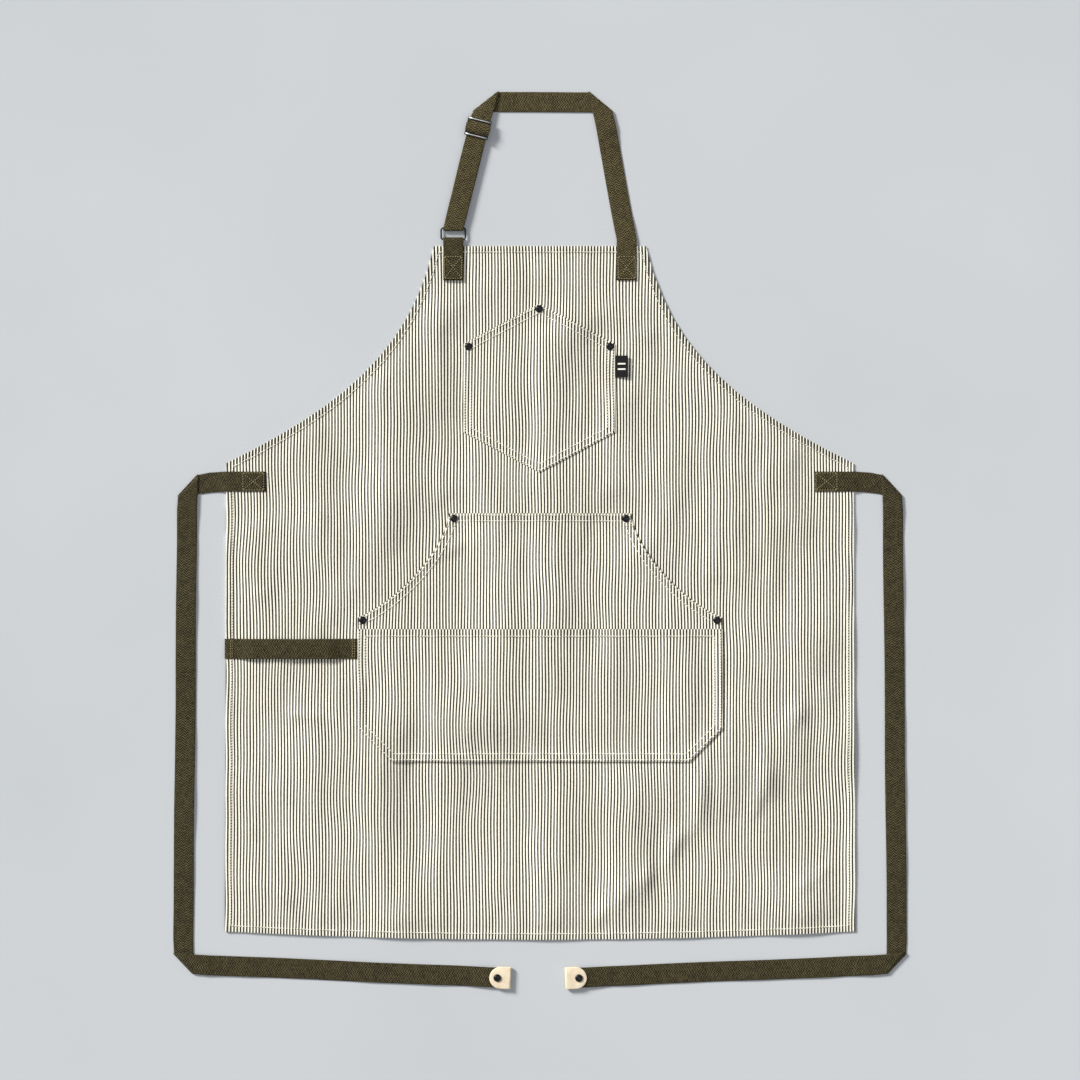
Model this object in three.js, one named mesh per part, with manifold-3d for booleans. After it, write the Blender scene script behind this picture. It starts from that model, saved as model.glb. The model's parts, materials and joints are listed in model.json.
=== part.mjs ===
// A butcher apron laid out flat, front side up, with its ties folded round it.
// Units are millimetres. +X is to the wearer's left hand, +Y runs up the bib, +Z is up from the table.

import * as THREE from 'three';
import { mergeVertices } from 'three/addons/utils/BufferGeometryUtils.js';
import Module from 'manifold-3d';

const wasm = await Module();
wasm.setup();

// ---------------------------------------------------------------- Driving dimensions

// Cloth panel
const BIB_TOP_Y = 352.4;
const BIB_TOP_WIDTH = 254;
const PANEL_WAIST_WIDTH = 752;
const PANEL_HEM_WIDTH = 756;
const PANEL_LENGTH = 831.8;
const ARMHOLE_DROP = 260.4;
const ARMHOLE_TOP_LEAN = 12.5;
const ARMHOLE_TOP_PULL = 130;
const ARMHOLE_SIDE_SLOPE = 26;
const ARMHOLE_SIDE_PULL = 150;
const ARMHOLE_STEPS = 12;
const HEM_BOW = 10;
const HEM_STEPS = 8;
const HEM_WIDTH = 8;
const CLOTH = 0.6;
const HEM_LAYERS = 3;

// Clearances that stand for contact between soft pieces
const LAY_GAP = 0.2;
const CLEARANCE = 0.3;
const FLOOR_GAP = 0.1;

// Webbing of the straps, ties and towel loop
const WEBBING_WIDTH = 24;
const WEBBING = 1.2;

// Pockets: a flat seam band round the sewn edges, then the cloth rises to its gape
const SEAM_BAND = 12;
const GAPE = 4.4;
const GAPE_RAMP = 25;

const BIB_POCKET_WIDTH = 181.5;
const BIB_POCKET_CENTRE_X = -1;
const BIB_POCKET_BELOW_TOP = 69.4;
const BIB_POCKET_PEAK_RISE = 48;
const BIB_POCKET_SIDE = 106;
const BIB_POCKET_POINT = 48;

const HAND_POCKET_WIDTH = 437;
const HAND_POCKET_TOP_WIDTH = 218;
const HAND_POCKET_BELOW_TOP = 320.6;
const HAND_POCKET_MOUTH_DROP = 125;
const HAND_POCKET_SIDE = 132;
const HAND_POCKET_CORNER_X = 40;
const HAND_POCKET_CORNER_Y = 40;
const MOUTH_TOP_PULL = 44;
const MOUTH_SIDE_PULL = 52;
const MOUTH_TOP_LEAN = 6;
const MOUTH_SIDE_SLOPE = 22;
const MOUTH_STEPS = 6;
const FRONT_POCKET_BELOW_MOUTH = 13.7;

// How finely the pockets' cloth is divided
const BIB_ROWS = 5;
const BIB_PEAK_COLUMNS = [-2, -1, -0.5, 0, 0.5, 1, 2];
const LOWER_ROWS = 3;
const UPPER_ROW_SHARES = [0.25, 0.5, 0.72, 0.82, 0.91, 1];
const MIDDLE_COLUMN_SHARES = [0, 0.3, 0.62];

// Rivets
const RIVET_CAP_RADIUS = 4.6;
const RIVET_CAP_HEIGHT = 1.7;
const RIVET_POST_RADIUS = 1.1;
const RIVET_HOLE_RADIUS = 1.5;
const RIVET_TACK_RADIUS = 3.6;
const RIVET_TACK_THICK = 0.5;
const RIVET_INSET = 6;
const RIVET_RIM_SHARE = 0.35;
const DOME_STEPS = 3;
const ROUND_STEPS = 16;

// Woven label in the bib pocket's side seam
const LABEL_OUT = 15.5;
const LABEL_TALL = 26;
const LABEL_THICK = 1.0;
const LABEL_BELOW_SHOULDER = 14;

// Towel loop on the wearer's right
const TOWEL_LOOP_BELOW_TOP = 482.9;
const TOWEL_LOOP_OVER_EDGE = 2;
const TOWEL_LOOP_SEWN = 12;
const TOWEL_LOOP_STEPS = 14;

// Neck strap
const NECK_PATCH_DROP = 41;
const NECK_STRAP_X = 104;
const NECK_FOLD_ABOVE_BIB = 8.1;
const NECK_FOLD_Z = 2.6;
const NECK_HEIGHT = 174;
const NECK_LEAN_RIGHT = 10.5;
const NECK_LEAN_LEFT = 14;
const STRAP_FOLD_RADIUS = 0.95;
const FOLD_STEPS = 4;
const WRAP_STEPS = 6;

// Wire ring between the bib and the adjustable end
const RING_WIRE = 2;
const RING_SIDE_CLEARANCE = 1.5;
const RING_BAR_SPACING = 13.4;
const RING_CORNER = 2.5;
const RING_CORNER_STEPS = 3;
const WIRE_SIDES = 10;

// Slider that sets the neck length
const SLIDER_FROM_RING = 123;
const SLIDER_SIDE_CLEARANCE = 0.8;
const SLIDER_LENGTH = 22.5;
const SLIDER_BORDER = 3.2;
const SLIDER_THICK = 1.8;
const SLIDER_CORNER = 3;
const SLIDER_WINDOW_CORNER = 1;
const SLIDER_CORNER_STEPS = 3;
const CHEEK_LENGTH = 6;
const CENTRE_BAR_RADIUS = 0.7;
const END_LOOP_THICK = 0.9;
const END_LOOP_GAP = 0.2;
const END_LOOP_LEG = 18;

// Waist ties
const TIE_BELOW_TOP = 282.4;
const TIE_PATCH = 47;
const TIE_STUB = 47;
const TIE_SAG = 5;
const TIE_DROP_SPREAD = 5.3;
const TAIL_BELOW_HEM = 29.4;
const TAIL_SLOPE = 2.4;
const TAIL_LENGTH_LEFT = 394;
const TAIL_LENGTH_RIGHT = 398.5;
const FOLD_LAYER_GAP = 0.3;
const RAMP = 30;

// Leather end caps
const LEATHER = 1.4;
const TIP_LENGTH = 26;
const TIP_SIDE_LAP = 1;
const TIP_OVERHANG = 2;
const TIP_RIVET_FROM_END = 16.5;
const TIP_ROUND_STEPS = 8;

// ---------------------------------------------------------------- Derived levels

const UP = new THREE.Vector3(0, 0, 1);
const DOWN = new THREE.Vector3(0, 0, -1);
const degrees = THREE.MathUtils.degToRad;

const PANEL_TOP_Z = CLOTH * HEM_LAYERS;
const PANEL_UNDER_Z = PANEL_TOP_Z - CLOTH;
const ON_PANEL_Z = PANEL_TOP_Z + LAY_GAP;
const WEBBING_ON_PANEL = ON_PANEL_Z + WEBBING / 2;
const WEBBING_ON_FLOOR = FLOOR_GAP + WEBBING / 2;
const UPPER_LAYER = WEBBING_ON_FLOOR + WEBBING + FOLD_LAYER_GAP;
const WRAP_RADIUS = RING_WIRE / 2 + CLEARANCE + WEBBING / 2;
const POCKETS_TOP_Z = ON_PANEL_Z + 2 * (CLOTH + GAPE) + LAY_GAP;
const CUT_MARGIN = 1;

const HEM_Y = BIB_TOP_Y - PANEL_LENGTH;
const WAIST_Y = BIB_TOP_Y - ARMHOLE_DROP;

// ---------------------------------------------------------------- Solid builders

// A closed body between two matching grids of points. Rows run left to right, columns right edge to left.
function closedGrid(low, high) {
  const rows = low.length;
  const columns = low[0].length;
  const positions = [];
  for (const grid of [low, high]) {
    for (const row of grid) {
      for (const point of row) {
        positions.push(point.x, point.y, point.z);
      }
    }
  }
  const at = (layer, i, j) => layer * rows * columns + i * columns + j;
  const triangles = [];
  const quad = (a, b, c, d) => triangles.push(a, b, c, a, c, d);
  for (let i = 0; i + 1 < rows; i += 1) {
    for (let j = 0; j + 1 < columns; j += 1) {
      quad(at(1, i, j), at(1, i + 1, j), at(1, i + 1, j + 1), at(1, i, j + 1));
      quad(at(0, i, j), at(0, i, j + 1), at(0, i + 1, j + 1), at(0, i + 1, j));
    }
    const last = columns - 1;
    quad(at(0, i, 0), at(0, i + 1, 0), at(1, i + 1, 0), at(1, i, 0));
    quad(at(0, i + 1, last), at(0, i, last), at(1, i, last), at(1, i + 1, last));
  }
  for (let j = 0; j + 1 < columns; j += 1) {
    const end = rows - 1;
    quad(at(0, 0, j + 1), at(0, 0, j), at(1, 0, j), at(1, 0, j + 1));
    quad(at(0, end, j), at(0, end, j + 1), at(1, end, j + 1), at(1, end, j));
  }
  const geometry = new THREE.BufferGeometry();
  geometry.setAttribute('position', new THREE.Float32BufferAttribute(positions, 3));
  geometry.setIndex(triangles);
  return geometry;
}

// A flat plate with the given outline between two heights.
function slab(outline, low, high) {
  const shape = new THREE.Shape(outline.map((point) => new THREE.Vector2(point.x, point.y)));
  const settings = { depth: high - low, bevelEnabled: false };
  return new THREE.ExtrudeGeometry(shape, settings).translate(0, 0, low);
}

// A turned body from a closed profile of [radius, height] points.
function turned(profile, x, y) {
  const points = profile.map(([radius, height]) => new THREE.Vector2(radius, height));
  return new THREE.LatheGeometry(points, ROUND_STEPS).rotateX(Math.PI / 2).translate(x, y, 0);
}

function post(radius, low, high, x, y) {
  return turned([[0, low], [radius, low], [radius, high], [0, high]], x, y);
}

function solidOf(geometry) {
  const bare = new THREE.BufferGeometry();
  bare.setAttribute('position', geometry.getAttribute('position'));
  bare.setIndex(geometry.getIndex());
  const merged = mergeVertices(bare, 1e-4);
  const corners = merged.getIndex().array;
  const kept = [];
  for (let i = 0; i < corners.length; i += 3) {
    const [a, b, c] = [corners[i], corners[i + 1], corners[i + 2]];
    if (a !== b && b !== c && c !== a) {
      kept.push(a, b, c);
    }
  }
  return new wasm.Manifold(new wasm.Mesh({
    numProp: 3,
    vertProperties: new Float32Array(merged.getAttribute('position').array),
    triVerts: new Uint32Array(kept),
  }));
}

function geometryOf(solid) {
  const mesh = solid.getMesh();
  const geometry = new THREE.BufferGeometry();
  geometry.setAttribute('position', new THREE.BufferAttribute(new Float32Array(mesh.vertProperties), 3));
  geometry.setIndex(new THREE.BufferAttribute(new Uint32Array(mesh.triVerts), 1));
  return geometry;
}

function cut(geometry, ...tools) {
  const solid = tools.reduce((rest, tool) => rest.subtract(solidOf(tool)), solidOf(geometry));
  return geometryOf(solid);
}

function joined(...pieces) {
  const [first, ...others] = pieces.map(solidOf);
  return geometryOf(others.reduce((whole, piece) => whole.add(piece), first));
}

// ---------------------------------------------------------------- Outlines

const point2 = (x, y) => new THREE.Vector2(x, y);

function bezier(start, startPull, endPull, end, steps) {
  return new THREE.CubicBezierCurve(start, startPull, endPull, end).getPoints(steps);
}

// The outline moved inwards by a width, for a counter-clockwise loop.
function inset(outline, width) {
  return outline.map((corner, i) => {
    const before = outline[(i + outline.length - 1) % outline.length];
    const after = outline[(i + 1) % outline.length];
    const arriving = corner.clone().sub(before).normalize();
    const leaving = after.clone().sub(corner).normalize();
    const inwards = point2(-arriving.y - leaving.y, arriving.x + leaving.x).normalize();
    const reach = width / (inwards.x * -arriving.y + inwards.y * arriving.x);
    return corner.clone().addScaledVector(inwards, reach);
  });
}

function panelOutline() {
  const outline = [];
  for (let i = 0; i <= HEM_STEPS; i += 1) {
    const across = (2 * i) / HEM_STEPS - 1;
    outline.push(point2(across * PANEL_HEM_WIDTH / 2, HEM_Y + HEM_BOW * across * across));
  }
  const side = point2(PANEL_WAIST_WIDTH / 2, WAIST_Y);
  const top = point2(BIB_TOP_WIDTH / 2, BIB_TOP_Y);
  const slope = degrees(ARMHOLE_SIDE_SLOPE);
  const lean = degrees(ARMHOLE_TOP_LEAN);
  const sidePull = point2(-Math.cos(slope), Math.sin(slope)).multiplyScalar(ARMHOLE_SIDE_PULL).add(side);
  const topPull = point2(Math.sin(lean), -Math.cos(lean)).multiplyScalar(ARMHOLE_TOP_PULL).add(top);
  const armhole = bezier(side, sidePull, topPull, top, ARMHOLE_STEPS);
  const mirrored = armhole.map((point) => point2(-point.x, point.y)).reverse();
  return [...outline, ...armhole, ...mirrored];
}

// ---------------------------------------------------------------- Straps

const headingVector = (heading) => new THREE.Vector3(Math.cos(heading), Math.sin(heading), 0);

// One cross-section of a strap: its middle, the way from there to its left edge, and its face's normal.
function section(x, y, z, heading, up = UP) {
  const half = new THREE.Vector3().crossVectors(up, headingVector(heading)).multiplyScalar(WEBBING_WIDTH / 2);
  return { middle: new THREE.Vector3(x, y, z), half, up };
}

function strap(sections, thickness = WEBBING) {
  const layer = (side) => sections.map(({ middle, half, up }) => [-1, 1].map((edge) => (
    middle.clone().addScaledVector(half, edge).addScaledVector(up, side * thickness / 2)
  )));
  return closedGrid(layer(-1), layer(1));
}

// A slanted crease that turns a strap from one heading to another.
function crease(x, y, arriving, leaving, up = UP) {
  const along = headingVector((arriving + leaving) / 2);
  const square = new THREE.Vector3().crossVectors(up, headingVector(arriving));
  const half = along.multiplyScalar((WEBBING_WIDTH / 2) / along.dot(square));
  const outward = headingVector(arriving).sub(headingVector(leaving)).normalize();
  return { x, y, half, outward };
}

function creaseSection(fold, z, insetBy, up = UP, flip = 1) {
  const middle = new THREE.Vector3(fold.x, fold.y, z).addScaledVector(fold.outward, -insetBy);
  return { middle, half: fold.half.clone().multiplyScalar(flip), up };
}

// The half turn of one unbroken strap round a crease, from one layer to the other.
function foldSections(fold, lowerZ, fromAngle, toAngle) {
  const bulge = STRAP_FOLD_RADIUS + WEBBING / 2;
  const hub = creaseSection(fold, lowerZ + STRAP_FOLD_RADIUS, bulge);
  const sections = [];
  for (let i = 0; i <= FOLD_STEPS; i += 1) {
    const angle = degrees(fromAngle + ((toAngle - fromAngle) * i) / FOLD_STEPS);
    const up = fold.outward.clone().multiplyScalar(Math.cos(angle)).addScaledVector(UP, Math.sin(angle));
    const middle = hub.middle.clone().addScaledVector(up, STRAP_FOLD_RADIUS);
    sections.push({ middle, half: fold.half.clone(), up });
  }
  return sections;
}

// A strap's turn round a bar that lies along X.
function wrapSections(x, y, z, radius, fromAngle, toAngle) {
  const sections = [];
  for (let i = 0; i <= WRAP_STEPS; i += 1) {
    const angle = degrees(fromAngle + ((toAngle - fromAngle) * i) / WRAP_STEPS);
    const up = new THREE.Vector3(0, Math.cos(angle), Math.sin(angle));
    const middle = new THREE.Vector3(x, y, z).addScaledVector(up, radius);
    sections.push({ middle, half: new THREE.Vector3(WEBBING_WIDTH / 2, 0, 0), up });
  }
  return sections;
}

// ---------------------------------------------------------------- Pockets

// How far the cloth has risen at a distance from a sewn edge: 0 on the seam band, 1 past the ramp.
const risen = (distance) => THREE.MathUtils.smoothstep(distance, SEAM_BAND, SEAM_BAND + GAPE_RAMP);

const EDGE_STEPS = [0, SEAM_BAND, SEAM_BAND + GAPE_RAMP / 2, SEAM_BAND + GAPE_RAMP];

// Column positions from one sewn side to the other, with the given ones in between.
function columnsBetween(left, right, between) {
  const fromLeft = EDGE_STEPS.map((step) => left + step);
  const fromRight = EDGE_STEPS.map((step) => right - step).reverse();
  const inner = between.filter((x) => x > fromLeft.at(-1) + 1 && x < fromRight[0] - 1);
  return [...fromLeft, ...inner, ...fromRight];
}

// Row positions up one column: the seam's steps from the bottom, then evenly to the given height.
function rowsBetween(bottom, top, count) {
  const seam = EDGE_STEPS.map((step) => bottom + step);
  const start = seam.at(-1);
  for (let i = 1; i <= count; i += 1) {
    seam.push(start + ((top - start) * i) / count);
  }
  return seam;
}

// The same with the steps of a second band below the top edge.
function rowsBetweenBands(bottom, top, count) {
  const band = EDGE_STEPS.map((step) => top - step).reverse();
  return [...rowsBetween(bottom, band[0], count), ...band.slice(1)];
}

function pocketCloth(columns, rowsAt, underside) {
  const layer = (offset) => columns.map((x) => rowsAt(x).map((y) => (
    new THREE.Vector3(x, y, underside(x, y) + offset)
  )));
  return closedGrid(layer(0), layer(CLOTH));
}

// ---------------------------------------------------------------- Materials and nodes

const apron = new THREE.Group();
apron.name = 'butcher_apron';

const MATERIALS = {
  striped_cotton: { color: 0xc3bfab, roughness: 0.9, metalness: 0 },
  olive_webbing: { color: 0x4b4428, roughness: 0.85, metalness: 0 },
  black_metal: { color: 0x1c1d1f, roughness: 0.35, metalness: 0.9 },
  gunmetal: { color: 0x4a4a4c, roughness: 0.3, metalness: 1 },
  cream_leather: { color: 0xe9dfc6, roughness: 0.6, metalness: 0 },
  black_label: { color: 0x17181a, roughness: 0.8, metalness: 0 },
};

function addNode(name, geometry, slot) {
  const mesh = new THREE.Mesh(geometry, new THREE.MeshStandardMaterial({ ...MATERIALS[slot], name: slot }));
  mesh.name = name;
  apron.add(mesh);
}

// ---------------------------------------------------------------- Rivets

function rivetHole(x, y) {
  return post(RIVET_HOLE_RADIUS, -CUT_MARGIN, POCKETS_TOP_Z + CUT_MARGIN, x, y);
}

// A domed cap whose post reaches down through the cloth to just above its tack.
function rivetCap(x, y, seat, postEnd) {
  const top = seat + RIVET_CAP_HEIGHT;
  const rim = seat + RIVET_CAP_HEIGHT * RIVET_RIM_SHARE;
  const dome = [];
  for (let i = 0; i < DOME_STEPS; i += 1) {
    const angle = (Math.PI / 2) * (i / DOME_STEPS);
    dome.push([RIVET_CAP_RADIUS * Math.cos(angle), rim + (top - rim) * Math.sin(angle)]);
  }
  const profile = [
    [0, postEnd],
    [RIVET_POST_RADIUS, postEnd],
    [RIVET_POST_RADIUS, seat],
    [RIVET_CAP_RADIUS, seat],
    ...dome,
    [0, top],
  ];
  return turned(profile, x, y);
}

function addRivet(name, x, y, seat, tackTop) {
  addNode(`${name}_cap`, rivetCap(x, y, seat + CLEARANCE, tackTop + CLEARANCE / 2), 'black_metal');
  addNode(`${name}_tack`, post(RIVET_TACK_RADIUS, tackTop - RIVET_TACK_THICK, tackTop, x, y), 'black_metal');
}

// ---------------------------------------------------------------- Bib pocket

const bibPocketLeft = BIB_POCKET_CENTRE_X - BIB_POCKET_WIDTH / 2;
const bibPocketRight = BIB_POCKET_CENTRE_X + BIB_POCKET_WIDTH / 2;
const bibPocketPeak = BIB_TOP_Y - BIB_POCKET_BELOW_TOP;
const bibPocketShoulder = bibPocketPeak - BIB_POCKET_PEAK_RISE;
const bibPocketTip = bibPocketShoulder - BIB_POCKET_SIDE - BIB_POCKET_POINT;

const bibRivets = [
  { name: 'bib_rivet_left', x: bibPocketLeft + RIVET_INSET, y: bibPocketShoulder - RIVET_INSET / 2 },
  { name: 'bib_rivet_top', x: BIB_POCKET_CENTRE_X, y: bibPocketPeak - RIVET_INSET },
  { name: 'bib_rivet_right', x: bibPocketRight - RIVET_INSET, y: bibPocketShoulder - RIVET_INSET / 2 },
];

function bibPocket() {
  const fromMiddle = (x) => Math.abs(x - BIB_POCKET_CENTRE_X) / (BIB_POCKET_WIDTH / 2);
  const top = (x) => bibPocketPeak - BIB_POCKET_PEAK_RISE * fromMiddle(x);
  const bottom = (x) => bibPocketTip + BIB_POCKET_POINT * fromMiddle(x);
  const peak = bibRivets[1];
  const between = BIB_PEAK_COLUMNS.map((step) => BIB_POCKET_CENTRE_X + step * SEAM_BAND);
  const columns = columnsBetween(bibPocketLeft, bibPocketRight, between);
  const underside = (x, y) => {
    const side = Math.min(x - bibPocketLeft, bibPocketRight - x);
    const rivet = Math.hypot(x - peak.x, y - peak.y);
    return ON_PANEL_Z + GAPE * risen(side) * risen(y - bottom(x)) * risen(rivet);
  };
  return pocketCloth(columns, (x) => rowsBetweenBands(bottom(x), top(x), BIB_ROWS), underside);
}

// ---------------------------------------------------------------- Hand pocket and front pocket

const handPocketHalf = HAND_POCKET_WIDTH / 2;
const handPocketTop = BIB_TOP_Y - HAND_POCKET_BELOW_TOP;
const handPocketMouthEnd = handPocketTop - HAND_POCKET_MOUTH_DROP;
const handPocketSideEnd = handPocketMouthEnd - HAND_POCKET_SIDE;
const handPocketBottom = handPocketSideEnd - HAND_POCKET_CORNER_Y;
const frontPocketTop = handPocketMouthEnd - FRONT_POCKET_BELOW_MOUTH;

const handRivets = [-1, 1].flatMap((side) => {
  const hand = side < 0 ? 'left' : 'right';
  return [
    {
      name: `hand_rivet_upper_${hand}`,
      x: side * (HAND_POCKET_TOP_WIDTH / 2 - RIVET_INSET),
      y: handPocketTop - RIVET_INSET,
    },
    {
      name: `hand_rivet_lower_${hand}`,
      x: side * (handPocketHalf - RIVET_INSET),
      y: handPocketMouthEnd - RIVET_INSET / 2,
    },
  ];
});

// The slanted mouth of the right-hand side, from the pocket's top corner down to its side.
function mouthCurve() {
  const start = point2(HAND_POCKET_TOP_WIDTH / 2, handPocketTop);
  const end = point2(handPocketHalf, handPocketMouthEnd);
  const lean = degrees(MOUTH_TOP_LEAN);
  const slope = degrees(MOUTH_SIDE_SLOPE);
  const startPull = point2(Math.sin(lean), -Math.cos(lean)).multiplyScalar(MOUTH_TOP_PULL).add(start);
  const endPull = point2(-Math.cos(slope), Math.sin(slope)).multiplyScalar(MOUTH_SIDE_PULL).add(end);
  return bezier(start, startPull, endPull, end, MOUTH_STEPS);
}

const mouth = mouthCurve();

function handPocketTopAt(x) {
  const across = Math.abs(x);
  const next = mouth.findIndex((point) => point.x >= across - 1e-6);
  if (next <= 0) {
    return handPocketTop;
  }
  const share = (across - mouth[next - 1].x) / (mouth[next].x - mouth[next - 1].x);
  return THREE.MathUtils.lerp(mouth[next - 1].y, mouth[next].y, share);
}

function handPocketBottomAt(x) {
  const past = Math.max(0, Math.abs(x) - (handPocketHalf - HAND_POCKET_CORNER_X));
  return handPocketBottom + (past * HAND_POCKET_CORNER_Y) / HAND_POCKET_CORNER_X;
}

function handPocketRise(x, y) {
  const side = handPocketHalf - Math.abs(x);
  return risen(side) * risen(y - handPocketBottomAt(x)) * risen(handPocketTop - y);
}

function handPocketColumns() {
  const slanted = mouth.map((point) => point.x);
  const middle = MIDDLE_COLUMN_SHARES.map((share) => (share * HAND_POCKET_TOP_WIDTH) / 2);
  const inner = HAND_POCKET_TOP_WIDTH / 2 - SEAM_BAND;
  const right = [...middle, inner, ...slanted];
  const between = [...right.map((x) => -x), ...right.slice(1)].sort((a, b) => a - b);
  return columnsBetween(-handPocketHalf, handPocketHalf, between);
}

const lowerRows = (x) => rowsBetween(handPocketBottomAt(x), frontPocketTop, LOWER_ROWS);

// Rows above the front pocket's edge. Those near the top follow the seam band there.
function upperRows(x) {
  const top = handPocketTopAt(x);
  return UPPER_ROW_SHARES.map((share) => THREE.MathUtils.lerp(frontPocketTop, top, share));
}

function handPocket() {
  const underside = (x, y) => ON_PANEL_Z + GAPE * handPocketRise(x, y);
  return pocketCloth(handPocketColumns(), (x) => [...lowerRows(x), ...upperRows(x)], underside);
}

function frontPocket() {
  const behind = (x, y) => ON_PANEL_Z + CLOTH + GAPE * handPocketRise(x, y);
  const underside = (x, y) => behind(x, y) + LAY_GAP + GAPE * handPocketRise(x, y);
  return pocketCloth(handPocketColumns(), lowerRows, underside);
}

// ---------------------------------------------------------------- Panel, pockets and label

const rivets = [...bibRivets, ...handRivets];
const holesFor = (list) => list.map(({ x, y }) => rivetHole(x, y));

function panel() {
  const outline = panelOutline();
  const hollow = slab(inset(outline, HEM_WIDTH), -CUT_MARGIN, PANEL_UNDER_Z);
  return cut(slab(outline, 0, PANEL_TOP_Z), hollow, ...holesFor(rivets));
}

function labelOutline() {
  const x = bibPocketRight + CLEARANCE;
  const top = bibPocketShoulder - LABEL_BELOW_SHOULDER;
  return [
    point2(x, top - LABEL_TALL),
    point2(x + LABEL_OUT, top - LABEL_TALL),
    point2(x + LABEL_OUT, top),
    point2(x, top),
  ];
}

addNode('apron_panel', panel(), 'striped_cotton');
addNode('bib_pocket', cut(bibPocket(), ...holesFor(bibRivets)), 'striped_cotton');
addNode('hand_pocket', cut(handPocket(), ...holesFor(handRivets)), 'striped_cotton');
addNode('front_pocket', frontPocket(), 'striped_cotton');
addNode('woven_label', slab(labelOutline(), ON_PANEL_Z, ON_PANEL_Z + LABEL_THICK), 'black_label');
for (const { name, x, y } of rivets) {
  addRivet(name, x, y, ON_PANEL_Z + CLOTH, PANEL_UNDER_Z - CLEARANCE);
}

// ---------------------------------------------------------------- Towel loop

function towelLoop() {
  const start = -PANEL_WAIST_WIDTH / 2 - TOWEL_LOOP_OVER_EDGE;
  const end = -handPocketHalf - CLEARANCE;
  const y = BIB_TOP_Y - TOWEL_LOOP_BELOW_TOP;
  const length = end - start;
  const sections = [];
  for (let i = 0; i <= TOWEL_LOOP_STEPS; i += 1) {
    const reached = (length * i) / TOWEL_LOOP_STEPS;
    const fromEnd = Math.min(reached, length - reached);
    const rise = THREE.MathUtils.smoothstep(fromEnd, TOWEL_LOOP_SEWN, TOWEL_LOOP_SEWN + GAPE_RAMP);
    sections.push(section(start + reached, y, WEBBING_ON_PANEL + GAPE * rise, 0));
  }
  return strap(sections);
}

addNode('towel_loop', towelLoop(), 'olive_webbing');

// ---------------------------------------------------------------- Neck strap, ring and slider

const neckFoldY = BIB_TOP_Y + NECK_FOLD_ABOVE_BIB;
const neckTopY = BIB_TOP_Y + NECK_HEIGHT;
const ringTopBarY = neckFoldY + RING_BAR_SPACING;
const patchBottomY = BIB_TOP_Y - NECK_PATCH_DROP;
const frontLayer = NECK_FOLD_Z + WRAP_RADIUS;
const returnLayer = NECK_FOLD_Z - WRAP_RADIUS;
const leanLeft = degrees(NECK_LEAN_LEFT);
const leanRight = degrees(NECK_LEAN_RIGHT);

// Points along the adjustable side, by their distance from the ring's top bar.
function alongLeftStrap(distance) {
  return {
    x: -NECK_STRAP_X + distance * Math.sin(leanLeft),
    y: ringTopBarY + distance * Math.cos(leanLeft),
  };
}

// The strap end on the bib that folds round the ring's lower bar.
function neckRingTab() {
  const x = -NECK_STRAP_X;
  const up = Math.PI / 2;
  const upperZ = WEBBING_ON_PANEL + WEBBING + LAY_GAP;
  return strap([
    section(x, patchBottomY, WEBBING_ON_PANEL, up, DOWN),
    section(x, BIB_TOP_Y + CLEARANCE, WEBBING_ON_PANEL, up, DOWN),
    ...wrapSections(x, neckFoldY, NECK_FOLD_Z, WRAP_RADIUS, -90, 90),
    section(x, BIB_TOP_Y - CLEARANCE, upperZ, -up),
    section(x, patchBottomY, upperZ, -up),
  ]);
}

function neckStrapSewnEnd() {
  const up = Math.PI / 2;
  const z = NECK_FOLD_Z - WEBBING / 2;
  return strap([
    section(NECK_STRAP_X, patchBottomY, WEBBING_ON_PANEL, up),
    section(NECK_STRAP_X, BIB_TOP_Y + CLEARANCE, WEBBING_ON_PANEL, up),
    section(NECK_STRAP_X, neckFoldY - CLEARANCE, z, up),
  ]);
}

// From the fold above the bib, up over the neck and down to the ring, all one strap.
function neckStrap() {
  const up = Math.PI / 2;
  const rise = neckTopY - neckFoldY;
  const rightFoldX = NECK_STRAP_X - rise * Math.tan(leanRight);
  const leftFold = alongLeftStrap((neckTopY - ringTopBarY) / Math.cos(leanLeft));
  const upRight = up + leanRight;
  const downLeft = -up - leanLeft;
  const rightCrease = crease(rightFoldX, neckTopY, upRight, Math.PI);
  const leftCrease = crease(leftFold.x, neckTopY, Math.PI, Math.PI + up - leanLeft, DOWN);
  const start = NECK_FOLD_Z - WEBBING / 2;
  const onRight = (distance, z) => section(
    NECK_STRAP_X - distance * Math.sin(leanRight),
    neckFoldY + distance * Math.cos(leanRight),
    z,
    upRight,
  );
  const onLeft = (distance, z) => {
    const { x, y } = alongLeftStrap(distance);
    return section(x, y, z, downLeft);
  };
  const straight = rise / Math.cos(leanRight);
  return strap([
    section(NECK_STRAP_X, neckFoldY + CLEARANCE, start, up),
    onRight(RAMP / 2, start),
    onRight(RAMP, WEBBING_ON_FLOOR),
    onRight(straight - 2 * RAMP, WEBBING_ON_FLOOR),
    onRight(straight - RAMP, WEBBING_ON_FLOOR + 2 * STRAP_FOLD_RADIUS),
    ...foldSections(rightCrease, WEBBING_ON_FLOOR, 90, -90),
    ...foldSections(leftCrease, WEBBING_ON_FLOOR, -90, 90),
    onLeft(SLIDER_FROM_RING + SLIDER_LENGTH / 2, frontLayer),
    onLeft(RAMP / 2, frontLayer),
    ...wrapSections(-NECK_STRAP_X, ringTopBarY, NECK_FOLD_Z, WRAP_RADIUS, 90, 270),
  ]);
}

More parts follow.
